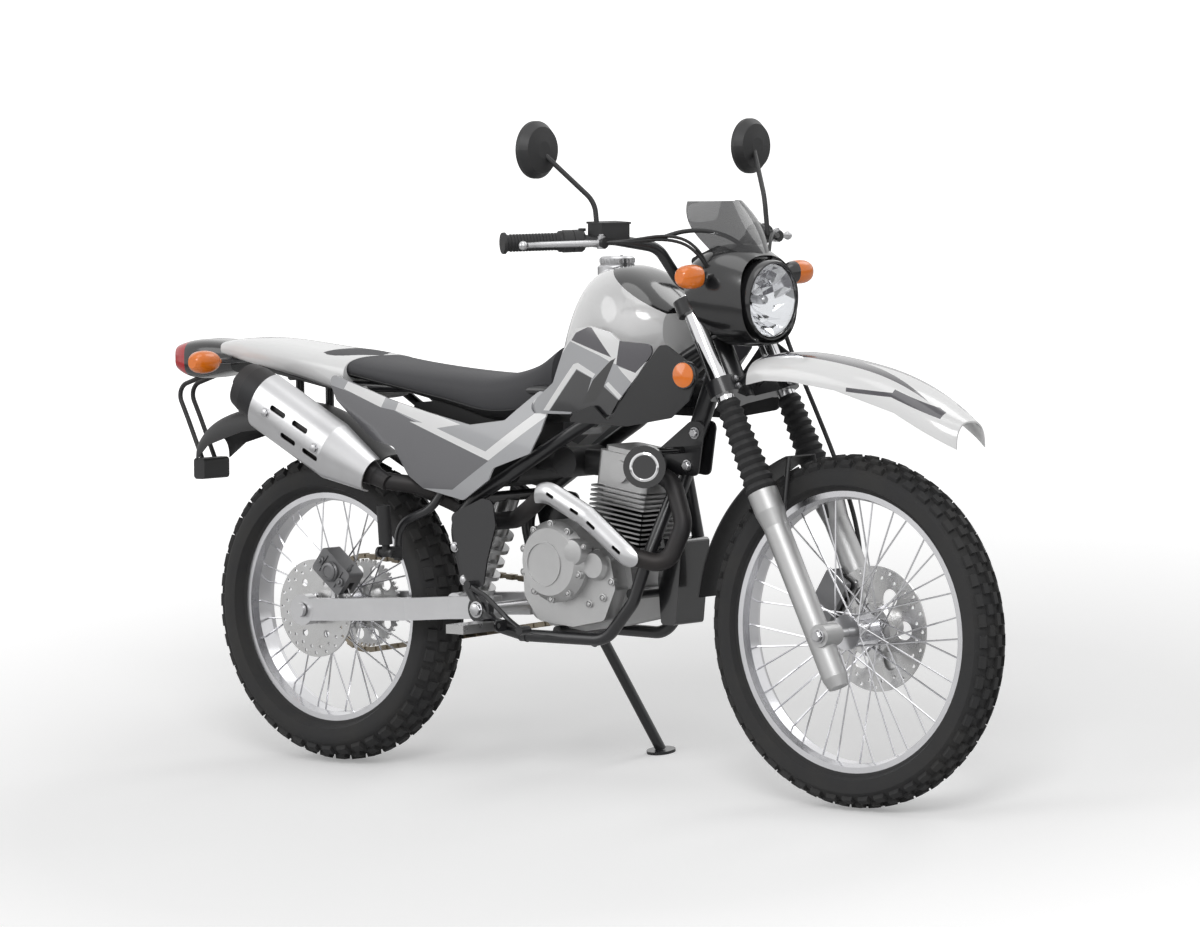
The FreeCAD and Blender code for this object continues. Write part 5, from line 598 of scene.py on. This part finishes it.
def onto(held, start, way):
    """Where a line from outside meets a node and the way its surface faces there, or None for both."""
    met, place, facing, _ = FRAME["nodes"][held].ray_cast(PARK @ Vector(start), PARK.to_3x3() @ Vector(way))
    back = PARK.inverted()
    return (back @ place, (back.to_3x3() @ facing).normalized()) if met else (None, None)


def bolt(bm, place, way, radius, height):
    """A round washer face with a six-sided head on it."""
    lathe(bm, [(0, -0.002), (radius * 1.3, -0.002), (radius * 1.3, height * 0.2), (radius, height * 0.22)],
          place, way, 16)
    lathe(bm, [(radius, height * 0.2), (radius, height * 0.85), (radius * 0.82, height), (0, height)],
          place, way, 6)


# Seat

SEAT_HEIGHT = 0.815
SEAT_HALF = 0.1035
SEAT_SQUARENESS = 3.2
SEAT_STEPS = 48
SEAT_CLEAR = 0.0015
WELT_RADIUS = 0.0016
SEAT_END_REACH = 0.016
SEAT_END_SHARES = (0.5, 0.8, 0.94)
# Along the seat from its front: the place as a share of the wheelbase, the underside and the top as shares of
# the seat's height, and the width as a share of the widest.
SEAT_ROWS = ((0.478, 0.9, 1.075, 0.72), (0.44, 0.885, 1.03, 0.93), (0.37, 0.885, 1.003, 1.03),
             (0.28, 0.92, 1.005, 1.0), (0.15, 0.965, 1.022, 1.04), (0.05, 0.995, 1.045, 0.98),
             (0.02, 1.01, 1.05, 0.9))


def through(rows, steps):
    """Rows of numbers on a smooth curve through the given rows."""
    rows = [Vector(row) for row in rows]
    rows = [rows[0] * 2 - rows[1]] + rows + [rows[-1] * 2 - rows[-2]]
    smooth = []
    for index in range(1, len(rows) - 2):
        a, b, c, d = rows[index - 1:index + 3]
        for step in range(steps):
            t = step / steps
            smooth.append((b * 2 + (c - a) * t + (a * 2 - b * 5 + c * 4 - d) * t ** 2
                           + (b * 3 - a - c * 3 + d) * t ** 3) / 2)
    return smooth + [rows[-2]]


def squared(part):
    """The cosine or sine of a circle, drawn toward a rounded square."""
    return math.copysign(abs(part) ** (2 / SEAT_SQUARENESS), part)


class MOTO_OT_seat(bpy.types.Operator):
    """The long padded seat with its stretched cover and dark lower edge, in place of the plain solid"""
    bl_idname = "moto.seat"
    bl_label = "Seat"

    def execute(self, context):
        rows = through(SEAT_ROWS, 8)
        self.pad(rows, context.scene.moto_seat)
        welt = bmesh.new()
        for hand in (1, -1):
            places = [(x * WHEELBASE, hand * SEAT_HALF * wide * 0.985, (low * 0.7 + high * 0.3) * SEAT_HEIGHT)
                      for x, low, high, wide in rows[1:-1]]
            sweep(welt, places, WELT_RADIUS, 8)
        object_from(welt, "seat_welt", "frame", "seat_edge")
        return {"FINISHED"}

    def pad(self, rows, own):
        """The stuffed form, drawn in at both ends."""
        bm, rings = bmesh.new(), []
        sections = [(rows[0], share, 1) for share in SEAT_END_SHARES] + [(row, 1, 0) for row in rows]
        sections += [(rows[-1], share, -1) for share in reversed(SEAT_END_SHARES)]
        for (x, low, high, wide), share, end in sections:
            base, top = low * SEAT_HEIGHT + SEAT_CLEAR, high * SEAT_HEIGHT
            half, half_height = SEAT_HALF * wide * share, (top - base) / 2 * share
            ring = []
            for turn in turns(SEAT_STEPS):
                across, rise = half * squared(math.cos(turn)), half_height * squared(math.sin(turn))
                crown = own.crown * (1 - (across / half) ** 2) if rise > 0 and share == 1 else 0
                ring.append(bm.verts.new((x * WHEELBASE + (1 - share) * SEAT_END_REACH * end, across,
                                          (base + top) / 2 + rise + crown)))
            rings.append(ring)
        for low, high in zip(rings, rings[1:]):
            heights = [vertex.co.z for vertex in low]
            edge = min(heights) + (max(heights) - min(heights)) * own.edge_share
            for face in strip(bm, low, high):
                face.material_index = int(min(vertex.co.z for vertex in face.verts) < edge)
        for ring in (rings[0], rings[-1]):
            bm.faces.new(ring)
        piece = object_from(bm, "seat_pad", "frame", ("seat_cover", "seat_edge"))
        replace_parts(piece, "seat")


# Head lamp

LAMP_MIDDLE = Vector((0.852 * WHEELBASE, 0, 1.2 * SEAT_HEIGHT))
LAMP_WAY = Vector((1, 0, -0.06)).normalized()
LAMP_HALF = 0.079
LAMP_DEPTH = 0.092
LENS_THICK = 0.0022
# Rows from the lamp's axis out: a reach and a place along the axis, ahead of the rim.
BOWL_ROWS = (0.013, -0.058), (0.03, -0.049), (0.046, -0.034), (0.059, -0.017), (0.0712, -0.004)
BULB_ROWS = ((0, -0.018), (0.006, -0.0185), (0.009, -0.022), (0.0095, -0.034), (0.0075, -0.037),
             (0.0075, -0.062), (0, -0.062))
LENS_ROWS = (0, 0.0085), (0.02, 0.008), (0.04, 0.0063), (0.056, 0.0036), (0.067, 0.0004), (0.0718, -0.0022)


class MOTO_OT_headlight(bpy.types.Operator):
    """The round head lamp: shell, many-faced reflector, bulb, clear lens and the arms that hold it"""
    bl_idname = "moto.headlight"
    bl_label = "Head lamp"

    def execute(self, context):
        shell, bulb, lens = bmesh.new(), bmesh.new(), bmesh.new()
        half, depth = LAMP_HALF, LAMP_DEPTH
        lathe(shell, [(0, -depth), (half * 0.4, -depth), (half * 0.72, -depth * 0.8),
                      (half * 0.97, -depth * 0.42), (half, -depth * 0.35), (half, -0.004),
                      (half - 0.002, 0.001), (half - 0.005, 0.0015), (half - 0.0065, -0.002),
                      (half - 0.007, -0.03), (0.02, -0.07)], LAMP_MIDDLE, LAMP_WAY, 64)
        for hand in (1, -1):
            sweep(shell, [LAMP_MIDDLE + mm(-46, hand * 39.5, -39.5),
                          steer(FORK_OFFSET, hand * (FORK_SIDE - 0.017), 0.99)], 0.007)
        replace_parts(object_from(shell, "lamp_shell", "steering", "cowl_black"), "headlight")
        self.reflector(context.scene.moto_lamp.facets)
        lathe(bulb, BULB_ROWS, LAMP_MIDDLE, LAMP_WAY, 32)
        object_from(bulb, "lamp_bulb", "steering", "lever_silver")
        inner = [(reach, place - LENS_THICK) for reach, place in reversed(LENS_ROWS)]
        lathe(lens, [*LENS_ROWS, *inner], LAMP_MIDDLE, LAMP_WAY, 64)
        bmesh.ops.remove_doubles(lens, verts=lens.verts, dist=WELD)
        object_from(lens, "lamp_lens", "steering", "lens_clear")
        return {"FINISHED"}

    def reflector(self, facets):
        """A bowl of flat mirrors, every second one a little deeper."""
        bowl, rings = bmesh.new(), []
        for step, turn in enumerate(turns(facets)):
            ring = []
            for row, (reach, place) in enumerate(BOWL_ROWS):
                twist = turn + (row % 2) * math.pi / facets
                dip = 0.0015 if (step + row) % 2 else 0
                ring.append(bowl.verts.new(LAMP_MIDDLE + LAMP_WAY * (place - dip)
                                           + Vector((0, math.cos(twist), math.sin(twist))) * reach))
            rings.append(ring)
        web(bowl, rings)
        object_from(bowl, "lamp_reflector", "steering", "reflector", smooth=False)


# Small pieces on the steering

CORNERS = ((-1, -1), (-1, 1), (1, 1), (1, -1))
# Rows of the grip's flange and inner end, and of the switch housing with its parting line.
FLANGE_ROWS = [(0, -0.005), (0.0205, -0.005), (0.021, -0.003), (0.021, 0.001), (0.017, 0.004)]
COLLAR_ROWS = [(0.017, 0.106), (0.0205, 0.109), (0.021, 0.113), (0.017, 0.1135), (0.0112, 0.1135)]
HOUSING_ROWS = [(0.0112, 0), (0.019, 0), (0.022, 0.004), (0.022, 0.021), (0.0205, 0.0215), (0.0205, 0.0235),
                (0.022, 0.024), (0.022, 0.042), (0.019, 0.046), (0.0112, 0.046)]
GRIP_START, GRIP_LENGTH = 0.008, 0.096
HOUSING_START, LEVER_START = 0.113, 0.154
GROOVE_RADIUS, RIB_RADIUS = 0.0158, 0.0172
BRAKE_HOSE_RADIUS, THROTTLE_CABLE_RADIUS, CLUTCH_CABLE_RADIUS = 0.0045, 0.0032, 0.0036


def bar_end(hand):
    """The bar's end, the way inward along it and the way ahead that the levers stand."""
    middle = steer(0.022, 0, 1.112)
    end = middle + Vector((-0.172, hand * 0.4, 0.092))
    bend = middle + Vector((-0.0516, hand * 0.216, 0.0957))
    return end, (bend - end).normalized(), (STEER_AHEAD - Vector((0, 0, 0.5))).normalized()


class MOTO_OT_controls(bpy.types.Operator):
    """Ribbed grips, switch housings, levers, the brake reservoir, mirror glasses, dial, cables and hose"""
    bl_idname = "moto.controls"
    bl_label = "Hand controls"

    def execute(self, context):
        grips, shells, levers = bmesh.new(), bmesh.new(), bmesh.new()
        glasses, dial = bmesh.new(), bmesh.new()
        for hand in (1, -1):
            end, along, forward = bar_end(hand)
            self.grip(grips, end, along, context.scene.moto_controls.ribs)
            lathe(shells, HOUSING_ROWS, end + along * HOUSING_START, along, 40)
            self.lever(shells, levers, end + along * LEVER_START, along, forward, hand < 0)
            lathe(glasses, [(0, 0.0022), (0.03, 0.0017), (0.05, 0.0006), (0.0525, -0.001), (0, -0.001)],
                  mm(832.3, hand * 330, 1275.5), (-1, 0, 0), 56)
        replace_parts(object_from(grips, "ribbed_grips", "steering", "soft_rubber"), "grips")
        piece = object_from(shells, "switch_housings", "steering", "black_plastic")
        object_from(levers, "levers", "steering", "lever_silver")
        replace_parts(piece, "hand_controls")
        object_from(glasses, "mirror_glasses", "steering", "mirror_glass")
        corners = [mm(1009, -54, 1062), mm(1009, 54, 1062), mm(1060, 48, 1082), mm(1060, -48, 1082)]
        block(dial, corners, [corner + Vector((-0.37, 0, 0.93)) * 0.003 for corner in corners])
        object_from(dial, "dial_glass", "steering", "dial")
        self.cables()
        return {"FINISHED"}

    def grip(self, bm, end, along, ribs):
        step = GRIP_LENGTH / ribs
        outline = list(FLANGE_ROWS)
        for rib in range(ribs):
            place = GRIP_START + step * rib
            outline += [(GROOVE_RADIUS, place), (GROOVE_RADIUS, place + step * 0.35),
                        (RIB_RADIUS, place + step * 0.45), (RIB_RADIUS, place + step * 0.9)]
        lathe(bm, outline + COLLAR_ROWS, end, along, 40)

    def lever(self, shells, levers, foot, along, forward, brake):
        """A lever with its perch and switch knobs, and the reservoir on the brake's."""
        up = along.cross(forward).normalized()
        up *= 1 if up.z > 0 else -1

        def at(out, inward=0, rise=0):
            """A place in millimetres from the foot: ahead, inward along the bar and up."""
            return foot + (forward * out + along * inward + up * rise) / 1000

        sweep(shells, [at(8), at(30), at(62)], [0.013, 0.0105, 0.0108], 20)
        sweep(shells, [at(0, 2, 19), at(0, 2, 24)], 0.0075, 20)
        sweep(shells, [at(-18, -28), at(-24.5, -28)], 0.006, 20)
        if brake:
            for wide, long, heights in ((18, 28, (4, 34)), (19.26, 29.96, (34, 38))):
                block(shells, *([at(30 + out * wide, 32 + inward * long, rise) for out, inward in CORNERS]
                                for rise in heights))
        sweep(levers, [at(52, 0, 12), at(52, 0, -12)], 0.0085, 20)
        blade = through([at(52), at(59, -28), at(58, -75), at(56, -125), at(61, -156)], 5)
        sweep(levers, blade, [0.0068 - 0.0016 * index / len(blade) for index in range(len(blade))], 16)
        bmesh.ops.create_uvsphere(levers, u_segments=24, v_segments=14, radius=0.0088,
                                  matrix=Matrix.Translation(at(61.8, -165)))
        bolt(levers, at(52, 0, 12.5), up, 0.005, 0.004)

    def cables(self):
        end, along, forward = bar_end(-1)
        box, throttle = end + along * 0.21 + forward * 0.03, end + along * 0.13 + forward * 0.018
        hose("brake_hose", [box, box + forward * 0.05 + along * 0.02, mm(1035, -110, 1120),
                            mm(1090, -52, 1108), mm(1098, 20, 1060), mm(1090, 84, 985),
                            steer(0.085, 0.1, 0.94), steer(0.083, 0.108, 0.82), steer(0.081, 0.112, 0.7),
                            steer(0.068, 0.118, 0.56), steer(0.02, 0.113, 0.44), steer(-0.02, 0.09, 0.4)],
             BRAKE_HOSE_RADIUS)
        for name, shift in (("throttle_cable_2", 0), ("throttle_cable_1", 9)):
            hose(name, [throttle + along * shift * 0.0013, throttle + forward * 0.06 + along * 0.03,
                        mm(1040, -150, 1104 + shift), mm(1078, -110, 1060 + shift), mm(1062, -72, 1000),
                        mm(1010, -50, 960), mm(985, -38, 925)], THROTTLE_CABLE_RADIUS)
        end, along, forward = bar_end(1)
        lever = end + along * 0.165 + forward * 0.05
        hose("clutch_cable", [lever, lever + along * 0.05 + forward * 0.02, mm(1050, 130, 1110),
                              mm(1080, 84, 1050), mm(1050, 56, 985), mm(1000, 36, 935)], CLUTCH_CABLE_RADIUS)


# Bolts, rings and reflectors

RIGHT, LEFT = Vector((0, -1, 0)), Vector((0, 1, 0))
# Places outside the machine from which a line is sent to its surface, in millimetres from the middle.
OUTSIDE = 400
# Bolts and nuts: half the head's width and its height.
SMALL_BOLT, DISC_BOLT, GUARD_BOLT = (0.0045, 0.004), (0.0045, 0.0045), (0.0085, 0.005)
FRAME_BOLT, PEG_BOLT, SPINDLE_NUT, AXLE_NUT = (0.009, 0.008), (0.008, 0.005), (0.013, 0.009), (0.011, 0.011)
# Each caliper's face: name, body, axle, reach from it with its shares ahead and up, side, way out and tilt.
CALIPERS = (("rear_caliper_face", "frame", REAR_AXLE, 101.5, (0.62, 0.8), -98, RIGHT, 38),
            ("front_caliper_face", "steering", FRONT_AXLE, 122.5, (-0.82, 0.5), 82, LEFT, -58))


def about(turn, reach):
    """A step to the place at this angle of the side view."""
    return Vector((math.cos(turn), 0, math.sin(turn))) * reach


class MOTO_OT_fasteners(bpy.types.Operator):
    """Bolts, nuts, the horn's ring, the filter cap and the side reflectors, each set on what carries it"""
    bl_idname = "moto.fasteners"
    bl_label = "Fasteners and reflectors"

    def execute(self, context):
        self.engine_bolts()
        self.locking_cap()
        self.frame_bolts()
        self.steering_bolts()
        self.disc_bolts()
        for name, body, axle, reach, shares, side, way, tilt in CALIPERS:
            middle = axle + mm(reach * shares[0], side, reach * shares[1])
            self.caliper_face(name, body, middle, way, math.radians(tilt))
        ring = bmesh.new()
        lathe(ring, [(0.029, 0.0), (0.029, 0.0035), (0.0255, 0.0045), (0.0235, 0.0035), (0.0235, 0.0)],
              mm(930.2, -122.4, 652), (0.55, -0.83, 0), 56)
        object_from(ring, "horn_ring", "frame", "chrome")
        self.side_reflectors()
        return {"FINISHED"}

    def engine_bolts(self):
        """Bolts in raised rings round the covers, the filter's cap with its three, and the clutch ring."""
        bm = bmesh.new()
        ahead_of_clutch = [-1.5 + 0.6 * index for index in range(5)]
        for x, z, reach, way, places in ((701.8, 456.4, 0.075, RIGHT, turns(10, 0.5)),
                                         (727.6, 432, 0.063, LEFT, turns(9, 0.5)),
                                         (775, 440, 0.066, RIGHT, ahead_of_clutch)):
            for turn in places:
                place, _ = onto("engine_covers", mm(x, way.y * OUTSIDE, z) + about(turn, reach), -way)
                if place is not None:
                    lathe(bm, [(0.0085, -0.006), (0.008, 0.004), (0.0062, 0.0045), (0.0062, 0.002),
                               (0, 0.002)], place, way, 20)
                    bolt(bm, place + way * 0.002, way, *SMALL_BOLT)
        cap = mm(762, -118, 478)
        lathe(bm, [(0.027, 0), (0.027, 0.026), (0.0245, 0.031), (0.012, 0.033), (0, 0.033)], cap, RIGHT, 48)
        for turn in turns(3, 0.2):
            place = cap + about(turn, 0.029)
            sweep(bm, [place, place + RIGHT * 0.024], 0.006, 16)
            bolt(bm, place + RIGHT * 0.024, RIGHT, 0.0042, 0.004)
        lathe(bm, [(0.045, 0), (0.045, 0.0022), (0.041, 0.0022), (0.041, 0)], mm(690, -150, 452), RIGHT, 64)
        object_from(bm, "engine_bolts", "frame", "cast_silver")

    def locking_cap(self):
        """The filler's ribbed cap with its lock's flap."""
        bm, low = bmesh.new(), mm(761.6, 0, 1033)
        lathe(bm, [(0.0395, -0.01), (0.0395, 0.006), (0.037, 0.009), (0.034, 0.0095), (0.034, 0.012),
                   (0.0345, 0.0135), (0.0345, 0.0235), (0.032, 0.0265), (0.02, 0.0275), (0.0195, 0.0262),
                   (0.0, 0.0262)], low, (0, 0, 1), 64)
        for turn in turns(24):
            x, y = math.cos(turn) * 34.5, math.sin(turn) * 34.5
            sweep(bm, [low + mm(x, y, 14.5), low + mm(x, y, 22.5)], 0.0014, 6)
        block(bm, *([low + mm(x * long, y * wide, rise) for x, y in CORNERS]
                    for long, wide, rise in ((12, 5, 26), (11, 4, 30))))
        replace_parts(object_from(bm, "locking_cap", "frame", "bolt_steel"), "fuel_cap")

    def frame_bolts(self):
        """The engine's and the swingarm's bolts on both sides, and those of the peg brackets and guard."""
        bm = bmesh.new()
        for x, z, side, size in ((975, 715, 21.3, FRAME_BOLT), (955, 650, 21.3, FRAME_BOLT),
                                 (486, 348, 122, SPINDLE_NUT)):
            for way in (RIGHT, LEFT):
                bolt(bm, mm(x, way.y * side, z), way, *size)
        for held, x, z, size in (("peg_brackets", 438, 473, PEG_BOLT), ("peg_brackets", 462, 407.5, PEG_BOLT),
                                 ("muffler_guard", 136, 667, GUARD_BOLT),
                                 ("muffler_guard", 0, 735, GUARD_BOLT)):
            bolt(bm, onto(held, mm(x, -OUTSIDE, z), LEFT)[0], RIGHT, *size)
        object_from(bm, "frame_bolts", "frame", "bolt_steel")

    def steering_bolts(self):
        """Clamp bolts of the fork, the bar and the axle's feet, and the axle's nuts."""
        bm = bmesh.new()
        for hand, way in ((1, LEFT), (-1, RIGHT)):
            places = [(steer(FORK_OFFSET + 0.029, hand * (FORK_SIDE - 0.016), height), STEER_AHEAD)
                      for height in (0.878, 0.893, 1.062)]
            places += [(steer(0.022 + side, hand * 0.03, 1.1275), STEER_UP) for side in (-0.017, 0.017)]
            places += [(FRONT_AXLE + Vector((drop, hand * FORK_SIDE, -0.0205)), (0, 0, -1))
                       for drop in (-0.012, 0.012)]
            for place, facing in places:
                bolt(bm, place, facing, *SMALL_BOLT)
            bolt(bm, FRONT_AXLE + way * 0.121, way, *AXLE_NUT)
        object_from(bm, "steering_bolts", "steering", "bolt_steel")

    def disc_bolts(self):
        """Six bolts round each disc and round the sprocket."""
        for end, rounds in (("front", ((FRONT_AXLE, 0.0622, LEFT, 0.027),)),
                            ("rear", ((REAR_AXLE, 0.0782, RIGHT, 0.027), (REAR_AXLE, 0.0852, LEFT, 0.038)))):
            bm = bmesh.new()
            for axle, side, way, reach in rounds:
                for turn in turns(6, 0.5):
                    bolt(bm, axle + way * side + about(turn, reach), way, *DISC_BOLT)
            object_from(bm, end + "_disc_bolts", end + "_wheel", "bolt_steel")

    def caliper_face(self, name, body, middle, way, turn):
        """A caliper's outer face: the piston's boss, a pin and a rib on each side, and the bleed nipple."""
        bm, along, up = bmesh.new(), about(-turn, 1), about(math.pi / 2 - turn, 1)

        def at(aside, rise, out):
            """A place in millimetres from the face's middle."""
            return middle + (along * aside + up * rise + way * out) / 1000

        lathe(bm, [(0.0215, -0.002), (0.0215, 0.004), (0.019, 0.007), (0.019, 0.0095), (0.016, 0.0115),
                   (0.0125, 0.0115), (0.0115, 0.0095), (0, 0.0095)], middle, way, 40)
        for hand in (1, -1):
            lathe(bm, [(0.0095, -0.002), (0.0095, 0.0045), (0.0085, 0.0055), (0, 0.0055)],
                  at(34 * hand, 0, 0), way, 24)
            bolt(bm, at(34 * hand, 0, 5), way, 0.005, 0.0045)
            block(bm, *([at(26 * hand + aside * wide, rise * tall, out) for aside, rise in CORNERS]
                        for wide, tall, out in ((1.6, 22, -2), (1, 20, 2.5))))
        lathe(bm, [(0.0045, -0.002), (0.0045, 0.006), (0.0028, 0.0065), (0.0028, 0.012), (0.0036, 0.0125),
                   (0.0036, 0.016), (0, 0.0165)], at(30, 28, -12), up, 16)
        object_from(bm, name, body, "caliper_grey")

    def side_reflectors(self):
        """A round reflector in its holder on each shroud."""
        lenses, backs = bmesh.new(), bmesh.new()
        for hand, held in ((1, "shroud_left"), (-1, "shroud_right")):
            place, facing = onto(held, mm(1070, hand * OUTSIDE, 838), (0, -hand, 0))
            if facing.y * hand < 0:
                facing = -facing
            lathe(backs, [(0.0275, -0.006), (0.0275, 0.003), (0.0262, 0.0055), (0.0245, 0.0055), (0, 0.0055)],
                  place, facing, 48)
            lathe(lenses, [(0.0242, 0.005), (0.0242, 0.0068), (0.022, 0.0082), (0, 0.0094)],
                  place, facing, 48)
        object_from(lenses, "side_reflectors", "frame", "lens_orange")
        object_from(backs, "reflector_backs", "frame", "cowl_black")


# Stage

FLOOR_HALF = 40
# The floor glows for the camera, from this strength near the machine to full white farther off.
NEAR_GLOW, NEAR_REACH, FAR_REACH = 0.28, 1.2, 5.0
WORLD_LIGHT = 0.28
STAGE_MIDDLE = Vector((0.686, 0, 0.6))
# The camera as fitted to the photograph: angles, aim on the upright machine, distance and lens.
CAMERA_AZIMUTH, CAMERA_HEIGHT, CAMERA_ROLL = -0.866410387, 0.0648517681, -0.00824803
CAMERA_AIM = Vector((0.68605, 0.03064, 0.64175))
CAMERA_AWAY = 11.30986
FOCAL_PIXELS, PHOTO_WIDTH = 5628.78, 1200
SENSOR_WIDTH = 36


class MOTO_OT_stage(bpy.types.Operator):
    """Floor, lamps, world light and the camera"""
    bl_idname = "moto.stage"
    bl_label = "Stage"

    def execute(self, context):
        own, scene = context.scene.moto_stage, context.scene
        self.floor(scene, own.floor_tone)
        self.world(scene)
        middle = PARK @ STAGE_MIDDLE
        for name, place, size, power in (("key", (3.2, -3.6, 4.2), 2.6, own.key_power),
                                         ("fill", (-3.0, -3.4, 2.6), 3.2, own.fill_power),
                                         ("far_side", (1.0, 4.6, 3.4), 3.2, own.fill_power),
                                         ("top", (0.6, 0.0, 5.2), 3.6, own.fill_power)):
            lamp = bpy.data.lights.new(name, "AREA")
            lamp.energy, lamp.size, lamp.shape = power, size, "DISK"
            holder = bpy.data.objects.new(name, lamp)
            holder.location = middle + Vector(place)
            holder.rotation_euler = (middle - holder.location).to_track_quat("-Z", "Y").to_euler()
            scene.collection.objects.link(holder)
        self.camera(scene)
        scene.view_settings.view_transform = "Standard"
        return {"FINISHED"}

    def floor(self, scene, tone):
        bm, mesh = bmesh.new(), bpy.data.meshes.new("floor")
        bmesh.ops.create_grid(bm, x_segments=1, y_segments=1, size=FLOOR_HALF)
        bm.to_mesh(mesh)
        bm.free()
        floor = bpy.data.objects.new("floor", mesh)
        scene.collection.objects.link(floor)
        material = bpy.data.materials.new("pale_floor")
        material.use_nodes = True
        mesh.materials.append(material)
        tree = material.node_tree
        matt = tree.nodes["Principled BSDF"]
        base = node(tree, "MapRange", {"Value": node(tree, "TexNoise", {"Scale": 2})["Fac"],
                                       "To Min": tone - 0.01, "To Max": tone + 0.01})["Result"]
        fill(tree, matt, {"Base Color": base, "Roughness": 0.9, "Specular IOR Level": 0.1})
        away = node(tree, "VectorMath", {0: node(tree, "NewGeometry", {})["Position"]}, operation="LENGTH")
        fade = node(tree, "MapRange", {"Value": away["Value"], "From Min": NEAR_REACH, "From Max": FAR_REACH,
                                       "To Min": NEAR_GLOW, "To Max": 1.0})["Result"]
        strength = maths(tree, "MULTIPLY", node(tree, "LightPath", {})["Is Camera Ray"], fade)
        glow = node(tree, "Emission", {"Strength": strength})[0]
        fill(tree, tree.nodes["Material Output"],
             {"Surface": node(tree, "AddShader", {0: matt.outputs[0], 1: glow})[0]})

    def world(self, scene):
        """A white world for the camera and in reflections, and a dim one as light."""
        scene.world = bpy.data.worlds.new("studio")
        scene.world.use_nodes = True
        tree = scene.world.node_tree
        rays = node(tree, "LightPath", {})
        seen = maths(tree, "MAXIMUM", rays["Is Camera Ray"], rays["Is Glossy Ray"])
        strength = node(tree, "MapRange", {"Value": seen, "To Min": WORLD_LIGHT, "To Max": 1.0})["Result"]
        fill(tree, tree.nodes["Background"], {"Color": (1, 1, 1, 1), "Strength": strength})

    def camera(self, scene):
        level, rise = math.cos(CAMERA_HEIGHT), math.sin(CAMERA_HEIGHT)
        back = Vector((level * math.cos(CAMERA_AZIMUTH), level * math.sin(CAMERA_AZIMUTH), rise))
        right = (-back).cross(Vector((0, 0, 1))).normalized()
        up = right.cross(-back).normalized()
        turned, tilt = math.cos(CAMERA_ROLL), math.sin(CAMERA_ROLL)
        view = Matrix((right * turned + up * tilt, up * turned - right * tilt, back)).transposed().to_4x4()
        view.translation = CAMERA_AIM + back * CAMERA_AWAY
        camera = bpy.data.objects.new("camera", bpy.data.cameras.new("camera"))
        camera.data.sensor_width = SENSOR_WIDTH
        camera.data.lens = SENSOR_WIDTH * FOCAL_PIXELS / PHOTO_WIDTH
        camera.data.clip_end = 100
        camera.matrix_world = PARK @ view
        scene.collection.objects.link(camera)
        scene.camera = camera


class MOTO_PT_pieces(bpy.types.Panel):
    bl_idname = "MOTO_PT_pieces"
    bl_label = "Motorcycle"
    bl_space_type = "VIEW_3D"
    bl_region_type = "UI"
    bl_category = "Motorcycle"

    def draw(self, context):
        for operator in OPERATORS:
            self.layout.operator(operator.bl_idname)


SETTINGS = (("moto_finish", FinishSettings), ("moto_tyres", TyreSettings), ("moto_seat", SeatSettings),
            ("moto_lamp", LampSettings), ("moto_controls", ControlSettings), ("moto_stage", StageSettings))
OPERATORS = (MOTO_OT_finishes, MOTO_OT_tyres, MOTO_OT_seat, MOTO_OT_headlight, MOTO_OT_controls,
             MOTO_OT_fasteners, MOTO_OT_stage)


def register():
    for name, settings in SETTINGS:
        bpy.utils.register_class(settings)
        setattr(bpy.types.Scene, name, PointerProperty(type=settings))
    for entry in OPERATORS + (MOTO_PT_pieces,):
        bpy.utils.register_class(entry)


def unregister():
    for entry in reversed(OPERATORS + (MOTO_PT_pieces,)):
        bpy.utils.unregister_class(entry)
    for name, settings in reversed(SETTINGS):
        delattr(bpy.types.Scene, name)
        bpy.utils.unregister_class(settings)


def main():
    register()
    for operator in OPERATORS:
        group, name = operator.bl_idname.split(".")
        getattr(getattr(bpy.ops, group), name)()


if __name__ == "__main__":
    main()
